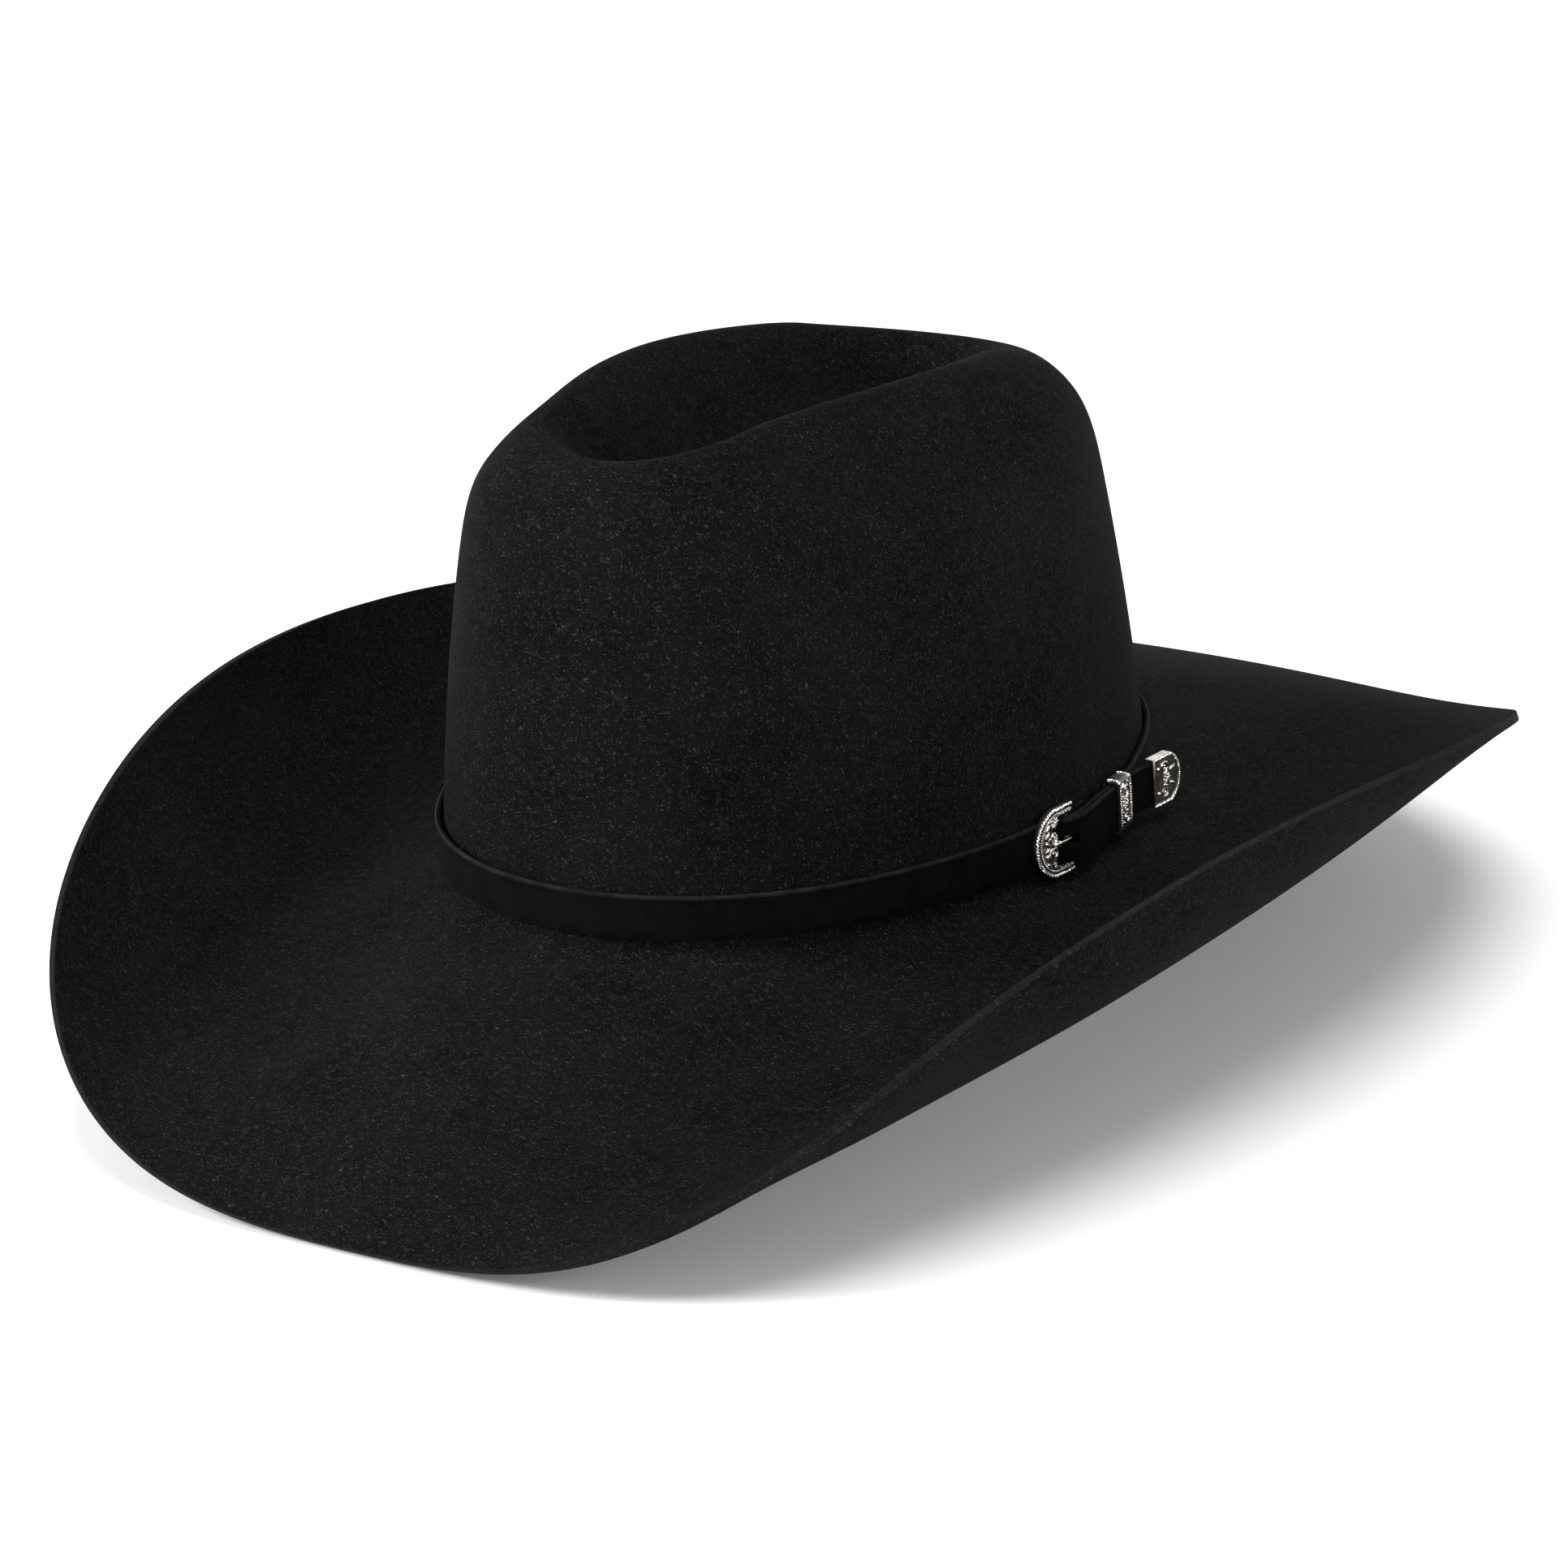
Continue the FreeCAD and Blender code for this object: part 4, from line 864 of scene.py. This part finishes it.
LOOP_LEAN, TAIL_DROP = radians(18), radians(32)
bow = Build()
bow_place = Matrix.Translation(wall_point(pi / 2, INSIDE + 2.9, 7.5))
for side in (-1, 1):
    loop = []
    for i in range(33):
        turn = pi + 2 * pi * i / 32
        x, y = 5.4 + 5.2 * cos(turn), 1.95 * sin(turn)
        loop.append(vec(side * x * cos(LOOP_LEAN), y, x * sin(LOOP_LEAN)))
    axis = vec(-side * sin(LOOP_LEAN), 0, cos(LOOP_LEAN))
    bow.add(ribbon(loop, axis, 4.4, 0.4), 0, bow_place)
    tail = []
    for i in range(12):
        share = i / 11
        reach = 9.0 * share
        x, y = side * reach * sin(TAIL_DROP), 0.45 - 0.3 * sin(share * 3)
        tail.append(vec(x, y, -reach * cos(TAIL_DROP)))
    axis = vec(cos(TAIL_DROP), 0, side * sin(TAIL_DROP))
    bow.add(ribbon(tail, axis, 3.8, 0.35), 0, bow_place)
for shift in (-0.5, 0.5):
    knot = [vec(shift * 2, 1.5 * cos(t), 2.1 * sin(t)) for t in round_angles(24)]
    bow.add(tube(knot, 0.95, 10, True), 0, bow_place)
bow.piece("sweatband_ribbon_bow", "hat", "sweatband_bow", "ribbon", [RIBBON])

# The blank tag is a thin curved block: a grid of points on each face, and a border between them.
TAG_ANGLE, TAG_FOOT, TAG_COLUMNS, TAG_ROWS = radians(62), 13.0, 25, 11
tag = Build()
tag_points = []
for depth in (0.12, 0.40):
    for j in range(TAG_ROWS):
        for i in range(TAG_COLUMNS):
            angle = TAG_ANGLE + 12.0 / END_RADIUS * (2 * i / (TAG_COLUMNS - 1) - 1)
            lift = 0.05 * sin(i * 0.9) * sin(j * 0.7) if depth > 0.2 else 0.0
            tag_points.append(wall_point(angle, INSIDE + depth + lift, TAG_FOOT + j))
tag_faces = []
block = TAG_COLUMNS * TAG_ROWS
for j in range(TAG_ROWS - 1):
    for i in range(TAG_COLUMNS - 1):
        a = j * TAG_COLUMNS + i
        face = [a, a + 1, a + TAG_COLUMNS + 1, a + TAG_COLUMNS]
        tag_faces += [face, [block + v for v in face[::-1]]]
border = [*range(TAG_COLUMNS - 1), *range(TAG_COLUMNS - 1, block, TAG_COLUMNS)]
border += [*range(block - 2, block - TAG_COLUMNS, -1), *range(block - TAG_COLUMNS, 0, -TAG_COLUMNS)]
for a, b in zip(border, border[1:] + border[:1]):
    tag_faces.append([b, a, block + a, block + b])
tag.add((tag_points, tag_faces))
for k in range(10):
    low = TAG_ANGLE + 11.2 / END_RADIUS * (2 * k / 10 - 1)
    for height in (13.9, 22.1):
        start = wall_point(low, INSIDE + 0.42, height)
        end = wall_point(low + 1.5 / END_RADIUS, INSIDE + 0.42, height)
        tag.add(thread(start, end, 0.12, vec(-0.05, -0.1, 0)), 1)
tag.piece("blank_tag", "hat", "size_label", "label", [LABEL, THREAD_TAN])

# ---- hatband

BUCKLE_ANGLE = radians(-4.2)
STRAP_WIDTH, STRAP_THICKNESS, STRAP_BOTTOM = 12.0, 1.2, 4.4
STRAP_MIDDLE = STRAP_BOTTOM + STRAP_WIDTH / 2
BAR_REACH, BAR_RADIUS, BAR_HEIGHT = 4.5, 0.7, 3.0
FOLD_STEP, ROUND_POINTS = radians(30), 64
# Middle line of the strap: arc length behind the buckle's middle, and distance off the oval.
CHAPE_UNDER = [(16.0, 1.4), (12.5, 1.4), (9.0, 1.5), (6.5, 1.65)]
CHAPE_OVER = [(6.5, 4.35), (9.0, 4.25), (12.0, 3.8), (15.0, 3.2), (18.5, 2.6), (22.0, 2.4)]
CHAPE_OVER += [(28.0, 2.35), (34.0, 2.35), (40.0, 2.3), (46.0, 1.9), (54.0, 1.35)]
TAIL = [(-20.0, 1.3), (-12.0, 1.2), (-8.0, 1.15), (-4.5, 1.15), (-1.6, 1.15), (0.4, 2.2)]
TAIL += [(2.2, 4.9), (4.0, 5.9), (6.5, 5.9), (9.0, 5.75), (12.0, 5.3), (15.5, 4.7)]
TAIL += [(19.5, 4.0), (24.0, 3.7), (28.0, 3.65), (32.0, 3.65), (36.0, 3.65), (38.5, 3.7)]
TAIL += [(41.5, 4.6), (45.0, 6.0), (48.0, 7.15), (51.0, 8.35), (53.3, 9.35)]


def side_point(reach, outward, height):
    """Point on the left side: reach is the arc length behind the buckle's middle."""
    return oval_point(BUCKLE_ANGLE + reach / SIDE_RADIUS, outward, height)


def place_of(along, out, origin):
    matrix = Matrix((along, vec(0, 0, 1), out)).transposed().to_4x4()
    matrix.translation = origin
    return matrix


def side_place(reach, outward, height):
    """Local frame on the left side: X along the strap, Y up, Z out from the crown."""
    angle = BUCKLE_ANGLE + reach / SIDE_RADIUS
    along = vec(-sin(angle), cos(angle), 0)
    out = vec(cos(angle), sin(angle), 0)
    return place_of(along, out, side_point(reach, outward, height))


def strap_route():
    """Control points of the strap's middle line, from the folded end to the tip."""
    place = side_place(0, 0, STRAP_MIDDLE)
    points = [side_point(reach, outward, 0) for reach, outward in CHAPE_UNDER]
    fold = (BAR_RADIUS + 0.05 + STRAP_THICKNESS / 2) / (1 - (1 - cos(FOLD_STEP)) / 3)
    for k in range(7):
        turn = -pi / 2 - FOLD_STEP * k
        x, z = BAR_REACH + fold * cos(turn), BAR_HEIGHT + fold * sin(turn)
        points.append(place @ vec(x, -STRAP_MIDDLE, z))
    points += [side_point(reach, outward, 0) for reach, outward in CHAPE_OVER]
    first = BUCKLE_ANGLE + CHAPE_OVER[-1][0] / SIDE_RADIUS
    last = BUCKLE_ANGLE + TAIL[0][0] / SIDE_RADIUS + 2 * pi
    for k in range(1, ROUND_POINTS):
        points.append(oval_point(first + (last - first) * k / ROUND_POINTS, 1.3, 0))
    return points + [side_point(reach, outward, 0) for reach, outward in TAIL]


def smooth_line(points, per_span):
    """Points along the clamped cubic spline with these control points."""
    spans = len(points) - 3
    knots = [0] * 3 + list(range(spans + 1)) + [spans] * 3
    line = []
    for step in range(spans * per_span + 1):
        at = step / per_span
        k = min(int(at), spans - 1) + 3
        d = [points[k - 3 + j].copy() for j in range(4)]
        for r in range(1, 4):
            for j in range(3, r - 1, -1):
                i = j + k - 3
                share = (at - knots[i]) / (knots[i + 4 - r] - knots[i])
                d[j] = d[j - 1].lerp(d[j], share)
        line.append(d[3])
    return line


# Strap section: outward from the middle line, and height over its lower edge. A fine raised
# line runs along the upper edge of the outer face.
SECTION = [
    (-0.60, 0.35), (-0.53, 0.12), (-0.35, 0.0), (0.30, 0.0), (0.51, 0.10), (0.60, 0.35),
    (0.60, 3.0), (0.60, 6.0), (0.60, 9.0), (0.60, 10.9), (0.63, 11.05), (0.70, 11.25),
    (0.71, 11.5), (0.66, 11.75), (0.48, 11.93), (0.2, 12.0), (-0.35, 12.0), (-0.53, 11.88),
    (-0.60, 11.65),
]
EDGE_FACES = range(10, 15)

strap_line = smooth_line(strap_route(), 6)
strap = Build()
count = len(SECTION)
strap_points = []
for i, middle in enumerate(strap_line):
    before, after = neighbours(strap_line, i)
    tangent = (after - before).normalized()
    out = vec(tangent.y, -tangent.x, 0)
    wander = 0.05 * noise.noise(middle * 0.35)
    for k, (outward, height) in enumerate(SECTION):
        uneven = wander if k in EDGE_FACES else 0.0
        lift = vec(0, 0, STRAP_BOTTOM + height)
        strap_points.append(middle + out * (outward + uneven) + lift)
strap_faces = ring_faces(len(strap_line), count)
strap.add((strap_points, strap_faces))
# Faces of the raised top edge take the lighter suede, a painted highlight.
strap.slots = [1 if i % count in EDGE_FACES else 0 for i in range(len(strap_faces))]
strap.faces += end_faces(len(strap_line), count)
strap.slots += [0, 0]
strap_piece = strap.piece(
    "suede_hatband", "hat", "hatband_strap", "band_leather", [SUEDE, SUEDE_EDGE_HIGHLIGHT]
)


def cut_slot(piece, place, boxes):
    """Cuts the tongue's slot through the strap's fold and tail."""
    for low, high in boxes:
        cutter_mesh = bpy.data.meshes.new("slot_cutter")
        work = bmesh.new()
        bmesh.ops.create_cube(work, size=1.0)
        for vert in work.verts:
            share = vert.co + vec(0.5, 0.5, 0.5)
            local = Vector([a + (b - a) * s for a, b, s in zip(low, high, share)])
            vert.co = (place @ local) * MM
        work.to_mesh(cutter_mesh)
        work.free()
        cutter = link("slot_cutter", cutter_mesh)
        cut = piece.modifiers.new("slot", "BOOLEAN")
        cut.object, cut.operation, cut.solver = cutter, "DIFFERENCE", "EXACT"
        bpy.context.view_layer.update()
        evaluated = piece.evaluated_get(bpy.context.evaluated_depsgraph_get())
        result = bpy.data.meshes.new_from_object(evaluated)
        piece.modifiers.clear()
        piece.data = result
        bpy.data.objects.remove(cutter)


buckle_zero = side_place(0, 0, STRAP_MIDDLE)
SLOT = 1.5
slot_boxes = [((-2.0, -SLOT, 0.2), (6.4, SLOT, 9.0)), ((6.3, -SLOT, 0.2), (7.4, SLOT, 5.0))]
cut_slot(strap_piece, buckle_zero, slot_boxes)

stitches = []
for height in (-4.2, -3.0, 3.0, 4.2):
    start, end = (side_point(10.5, outward, STRAP_MIDDLE + height) for outward in (0.9, 4.8))
    stitches.append((start, end, vec(0, 0, 0.05)))
sew("fold_stitches", "chape_stitches", "thread_black", THREAD_BLACK, 0.28, stitches)

stitches = []
for degrees in (60, 120, 180, 240, 300):
    angle = radians(degrees)
    start, end = oval_point(angle, -1.0, 16.75), oval_point(angle, 2.0, 15.5)
    stitches.append((start, end, vec(0.1 * cos(angle), 0.1 * sin(angle), 0.1)))
sew("band_tacks", "hatband_tacks", "thread_black", THREAD_BLACK, 0.26, stitches)

# ---- buckle set

METAL = [SILVER, TARNISH]
TOE_HALF, TOE_RADIUS, TOE_REACH = 9.25, 9.4, 8.5
FRAME_LIFT, FRAME_TOP, SCALLOP_HALF = 2.1, 1.8, 5.9


def flat_path(points, height):
    return [vec(x, y, height) for x, y in points]


def toe_line(heel, inset):
    """A line inside the frame's outline, from the lower heel round the toe to the upper heel."""
    half, radius = TOE_HALF - inset, TOE_RADIUS - inset
    centre = -TOE_REACH + TOE_RADIUS
    reach = math.acos(half / radius)
    steps = 40
    line = [(heel, -half)]
    for i in range(steps + 1):
        angle = -(pi / 2 + reach) - i / steps * (pi - 2 * reach)
        line.append((centre + radius * cos(angle), radius * sin(angle)))
    return line + [(heel, half)]


def buckle_outline():
    """C-shaped plate: rounded toe, two arms, and a scalloped inner edge."""
    arm = [(6.3, 6.9), (5.2, 6.45), (3.0, 6.6), (1.0, 6.45), (-1.0, 6.3)]
    outline = toe_line(6.5, 0.0) + arm
    for k in range(21):
        y = SCALLOP_HALF - 2 * SCALLOP_HALF * k / 20
        scallop = 0.45 * abs(cos(y / SCALLOP_HALF * pi * 1.5))
        outline.append((-1.6 - scallop, y))
    return outline + [(x, -y) for x, y in arm[::-1]]


def add_flower(build, centre, size):
    petals = 8
    for k in range(petals):
        turn = 2 * pi * k / petals + 0.2
        middle = centre + vec(cos(turn), sin(turn), 0) * size * 0.58
        build.add(dome(middle, size * 0.80, size * 0.36, size * 0.26, turn, -0.35))
    build.add(dome(centre, size * 0.5, size * 0.5, size * 0.42))


def add_leaves(build, level, *leaves):
    """Leaves given as x, y, length, width, height, turn in degrees and taper."""
    for x, y, length, width, height, degrees, taper in leaves:
        middle = vec(x, y, level)
        build.add(dome(middle, length, width, height, radians(degrees), taper))


def add_rope(build, path, radius, pitch, **more):
    for strand in rope(path, radius, pitch, **more):
        build.add(strand)


buckle = Build()
raised, field = plate(buckle_outline(), 0.0, FRAME_TOP, 0.3, 0.75, 0.4)
buckle.add(raised)
buckle.add(field, 1)
add_rope(buckle, flat_path(toe_line(6.3, 0.35), FRAME_TOP - 0.30), 0.55, 1.7)
for point in resampled(flat_path(toe_line(5.8, 1.55), FRAME_TOP - 0.12), 0.62):
    buckle.add(dome(point, 0.5, 0.5, 0.25))
ridge = flat_path(toe_line(4.0, 2.1), FRAME_TOP - 0.18)
buckle.add(tube(resampled(ridge, 0.5), 0.2, 8))
level = FRAME_TOP - 0.32
add_flower(buckle, vec(-1.0, 5.6, level + 0.1), 1.75)
for sign, y in ((1, 1.75), (-1, -2.6)):
    buckle.add(spiral(vec(-1.6, y, 0), 1.45, 1.5, 180, sign, 0.52, 0.28, level + 0.2))
    upper = (-4.1, y + 1.0 * sign, 3.4, 1.7, 0.72, 70 * sign, 0.4)
    lower = (-4.2, y - 1.5 * sign, 2.6, 1.3, 0.66, -60 * sign, 0.4)
    add_leaves(buckle, level, upper, lower)
buckle.add(spiral(vec(-1.8, -5.3, 0), 1.0, 1.3, 90, -1, 0.36, 0.22, level + 0.1))
add_leaves(
    buckle,
    level,
    (-3.9, 4.6, 3.0, 1.5, 0.66, 50, 0.35),
    (-3.0, 6.3, 2.2, 1.1, 0.55, 20, 0.35),
    (-3.8, -5.6, 3.0, 1.4, 0.66, -52, 0.35),
)
for side in (-1, 1):
    for k in range(4):
        leaf = (1.3 + 1.35 * k, side * 7.25, 1.35, 0.7, 0.42, 25 if k % 2 else -25, 0.45)
        add_leaves(buckle, level + 0.08, leaf)
frame_place = side_place(0, FRAME_LIFT, STRAP_MIDDLE)
buckle.piece("silver_buckle", "buckle", "buckle_frame", "silver", METAL, place=frame_place)

bar = Build()
bar_path = [vec(BAR_REACH, -8.2 + 16.4 * i / 12, BAR_HEIGHT) for i in range(13)]
bar.add(tube(bar_path, 0.69, 16))
bar.piece("buckle_heel_bar", "buckle", "buckle_bar", "silver", METAL, place=buckle_zero)

COIL_RADIUS, COLLAR_RADIUS, ROD_STEPS, COLLAR_STEP = 1.06, 0.6, 14, 11
tongue = Build()
coil = []
for t in round_angles(28):
    x, z = BAR_REACH + COIL_RADIUS * cos(t), BAR_HEIGHT + COIL_RADIUS * sin(t)
    coil.append(vec(x, 0, z))
for shift in (-0.78, -0.26, 0.26, 0.78):
    tongue.add(tube([p + vec(0, shift, 0) for p in coil], 0.29, 8, True))
rise = FRAME_LIFT + FRAME_TOP + 0.6 + 0.1
rod, radii = [], []
for i in range(ROD_STEPS + 1):
    share = i / ROD_STEPS
    rod.append(vec(BAR_REACH + 0.1 - 6.4 * share, 0, rise - 0.25 * (1 - share) ** 4 + 0.03))
    radii.append(0.62 - 0.06 * sin(pi * share) + 0.08 * max(0.0, share - 0.85) / 0.15)
tongue.add(tube(rod, radii, 14))
collar = []
for t in round_angles(20):
    around = vec(0, COLLAR_RADIUS * cos(t), COLLAR_RADIUS * sin(t))
    collar.append(rod[COLLAR_STEP] + around)
tongue.add(tube(collar, 0.13, 8, True))
tongue.piece("silver_tongue", "tongue", "buckle_tongue", "silver", METAL, place=buckle_zero)

# Keeper: a loop whose outer face has rope edges and a flower between two scrolls.
KEEPER_LENGTH, KEEPER_HALF, KEEPER_DEPTH, KEEPER_WALL = 3.75, 6.35, 1.6, 0.7
KEEPER_FACE = KEEPER_DEPTH + KEEPER_WALL - 0.08


def loop_section(half_width, half_depth, radius):
    """A rounded rectangle across the strap."""
    steps = 6
    line = []
    for cx, cz, first in ((1, 1, 0), (-1, 1, 90), (-1, -1, 180), (1, -1, 270)):
        for i in range(steps + 1):
            turn = radians(first + 90 * i / steps)
            y = cx * (half_width - radius) + radius * cos(turn)
            line.append((y, cz * (half_depth - radius) + radius * sin(turn)))
    return line


keeper = Build()
outer_loop = loop_section(KEEPER_HALF + KEEPER_WALL, KEEPER_DEPTH + KEEPER_WALL, 0.9)
inner_loop = loop_section(KEEPER_HALF, KEEPER_DEPTH, 0.35)
# Place along the strap, and how far the outside swells there: two borders round a sunk field.
ends = [(KEEPER_LENGTH, 0.0), (3.6, 0.12), (2.75, 0.12), (2.6, -0.08)]
stations = [(-x, swell) for x, swell in ends] + ends[::-1]
loop_points = []
for x, swell in stations:
    for y, z in outer_loop:
        swollen = swell if z > -0.5 else -0.02
        wider = y * (1 + swollen / (KEEPER_HALF + KEEPER_WALL))
        loop_points.append(vec(x, wider, z + (swollen if z > 0 else 0.0)))
rows, around, start = len(stations), len(outer_loop), len(loop_points)
for x in (-KEEPER_LENGTH, KEEPER_LENGTH):
    loop_points += [vec(x, y, z) for y, z in inner_loop]
faces = ring_faces(rows, around) + ring_faces(2, around, True, start)
faces += bridge(0, start, around, True)
faces += bridge((rows - 1) * around, start + around, around)
keeper.add((loop_points, faces))
keeper.slots = [int(3 * around <= i < 4 * around) for i in range(len(faces))]
rope_half = [(0.0, 2.5), (4.0, 2.45), (6.4, 2.25), (7.0, 1.5), (7.15, 0.6), (7.1, -1.3)]
rope_line = [(-y, z) for y, z in rope_half[:0:-1]] + rope_half
for x in (-3.15, 3.15):
    path = smooth_line([vec(x, y, z) for y, z in rope_line], 6)
    add_rope(keeper, path, 0.42, 1.5, up=vec(1, 0, 0))
add_flower(keeper, vec(0, 0, KEEPER_FACE), 1.8)
for sign in (-1, 1):
    centre = vec(0.1, 3.6 * sign, 0)
    keeper.add(spiral(centre, 1.45, 1.4, -90 * sign, sign, 0.44, 0.26, KEEPER_FACE + 0.12))
    add_leaves(
        keeper,
        KEEPER_FACE,
        (-1.5, 5.2 * sign, 2.0, 1.0, 0.5, 60 * sign, 0.4),
        (1.6, 5.3 * sign, 2.0, 1.0, 0.5, 110 * sign, 0.4),
        (-1.9, 2.2 * sign, 1.8, 0.85, 0.45, 40 * sign, 0.4),
    )
keeper_place = side_place(31.5, 3.0, STRAP_MIDDLE)
keeper.piece("silver_keeper", "keeper_loop", "keeper", "silver", METAL, place=keeper_place)

# Strap tip: a hollow cap with a rope edge, and a sunk face with a flower between two scrolls.


def place_on_strap(reach):
    """Local frame on the strap's free end, nearest to this reach."""
    target = side_point(reach, 8.0, 0)
    tail = strap_line[-140:]
    i = min(range(1, len(tail) - 1), key=lambda k: (tail[k] - target).length)
    along = (tail[i + 1] - tail[i - 1]).normalized()
    out = vec(along.y, -along.x, 0)
    step = (target - tail[i]).dot(along)
    return place_of(along, out, tail[i] + along * step + vec(0, 0, STRAP_MIDDLE))


def tip_outline(half, nose, mouth):
    """A straight mouth, straight sides and a nose that is an arc."""
    sag, steps = nose - 2.0, 18
    radius = (half**2 + sag**2) / (2 * sag)
    spread = math.asin(min(1.0, half / radius))
    line = [(mouth, -half)]
    for i in range(steps + 1):
        turn = -spread + 2 * spread * i / steps
        line.append((nose - radius + radius * cos(turn), radius * sin(turn)))
    return line + [(mouth, half)]


CAP_MOUTH, CAP_FACE = -6.0, 1.35
cap = Build()
cap_line = tip_outline(6.65, 6.0, CAP_MOUTH)
raised, field = plate(cap_line, 0.85, CAP_FACE, 0.12, 0.7, 0.2)
cap.add(raised)
cap.add(field, 1)
cap.add(plate(cap_line, -CAP_FACE, -0.85, 0.12)[0])
pocket = [(CAP_MOUTH, 6.15), (1.9, 6.15), (2.0, 5.9), (2.0, -5.9), (1.9, -6.15), (CAP_MOUTH, -6.15)]
cap.add(plate(cap_line + pocket, -0.9, 0.9, 0.04)[0])
add_rope(cap, flat_path(tip_outline(6.35, 5.7, -5.8), 1.28), 0.36, 1.3)
cap.add(tube(flat_path([(-5.5, -6.0), (-5.5, 0), (-5.5, 6.0)], 1.3), 0.28, 8))
add_flower(cap, vec(0.0, 0.0, 1.15), 1.6)
for sign in (-1, 1):
    centre = vec(-1.2, 3.4 * sign, 0)
    cap.add(spiral(centre, 1.5, 1.4, -90 * sign, sign, 0.42, 0.26, 1.25))
    add_leaves(cap, 1.12, (2.6, 2.2 * sign, 2.8, 1.3, 0.5, 30 * sign, 0.4))
tip_place = place_on_strap(52.0)
cap.piece("silver_strap_tip", "hat", "strap_tip", "silver", METAL, place=tip_place)

rivets = Build()
for side in (-1, 1):
    middle = vec(-3.8, 3.4 * side, 0)
    shank = [middle + vec(0, 0, z) for z in (-1.3, -0.6, 0.0, 0.6, 1.3)]
    rivets.add(tube(shank, 0.48, 12))
    rivets.add(dome(middle + vec(0, 0, 1.3), 1.3, 1.3, 0.3))
rivets.piece("tip_rivet_heads", "hat", "tip_rivets", "silver", METAL, place=tip_place)

# ---- CAD nodes that stay

for node, material in (("liner_shield", CLEAR), ("sweatband_reed", REED)):
    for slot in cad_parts[node].material_slots:
        slot.material = material

# ---- stage, lights and camera


def stage_floor():
    """A pale floor that curves up into a backdrop far behind the hat; from below it is clear."""
    look = Look("pale floor", 0.9, Specular_IOR_Level=0.1)
    shade = look.noise(3.0)
    pale = look.ramp(shade, (0.3, (0.93, 0.93, 0.93)), (0.7, (0.95, 0.95, 0.95)))
    material = look.made(pale, None, (look.noise(300.0), 0.02, 0.001))
    tree = look.tree
    sides = tree.nodes.new("ShaderNodeNewGeometry")
    clear = tree.nodes.new("ShaderNodeBsdfTransparent")
    mix = tree.nodes.new("ShaderNodeMixShader")
    tree.links.new(sides.outputs["Backfacing"], mix.inputs[0])
    tree.links.new(look.shader.outputs[0], mix.inputs[1])
    tree.links.new(clear.outputs[0], mix.inputs[2])
    tree.links.new(mix.outputs[0], tree.nodes["Material Output"].inputs["Surface"])
    count = 96
    radii = [0.05 + 0.25 * i for i in range(8)] + [2.1, 2.5, 3.0, 3.4, 3.6, 3.7]
    heights = [0.0] * 9 + [0.06, 0.3, 0.8, 1.5, 2.6]
    points = []
    for radius, height in zip(radii, heights):
        for angle in round_angles(count):
            points.append((radius * cos(angle), radius * sin(angle), height))
    mesh = bpy.data.meshes.new("floor")
    faces = ring_faces(len(radii), count, True) + [list(range(count))]
    mesh.from_pydata(points, [], faces)
    for polygon in mesh.polygons:
        polygon.use_smooth = True
    mesh.materials.append(material)
    floor = link("floor", mesh)
    floor.location = (0, 0, CAD_BOX[0][2] - 0.0005)


stage_floor()

world = bpy.data.worlds.new("studio")
SCENE.world = world
world.use_nodes = True
backdrop = world.node_tree.nodes["Background"]
backdrop.inputs["Color"].default_value = (1.0, 1.0, 1.0, 1)
backdrop.inputs["Strength"].default_value = 0.34


def add_light(name, place, size, power):
    data = bpy.data.lights.new(name, "AREA")
    data.shape, data.size, data.energy = "DISK", size, power
    light = link(name, data)
    light.location = place
    light.rotation_mode = "QUATERNION"
    light.rotation_quaternion = (vec(0, 0, 0.03) - Vector(place)).to_track_quat("-Z", "Y")


add_light("key", (-1.8, -1.35, 1.15), 1.0, 84.0)
add_light("fill", (1.9, -0.5, 0.55), 1.0, 18.0)
add_light("top", (0.5, -0.2, 2.1), 1.4, 34.0)

camera_data = bpy.data.cameras.new("camera")
camera = link("camera", camera_data)
DISTANCE = 1.75
azimuth, elevation, roll = radians(36.7), radians(19.4), radians(-3.7)
back = vec(sin(azimuth) * cos(elevation), -cos(azimuth) * cos(elevation), sin(elevation))
level_right = vec(cos(azimuth), sin(azimuth), 0)
level_up = back.cross(level_right)
right = level_right * cos(roll) + level_up * sin(roll)
up = level_up * cos(roll) - level_right * sin(roll)
aim = vec(0, 0, 0.040) - right * 0.0017 - up * 0.0288
camera_data.sensor_width = 36.0
camera_data.lens = 152.3
camera_data.clip_start, camera_data.clip_end = 0.05, 50.0
camera.rotation_mode = "QUATERNION"
camera.rotation_quaternion = Matrix((right, up, back)).transposed().to_quaternion()
camera.location = aim + back * DISTANCE
bpy.context.scene.camera = camera
SCENE.view_settings.view_transform = "Standard"
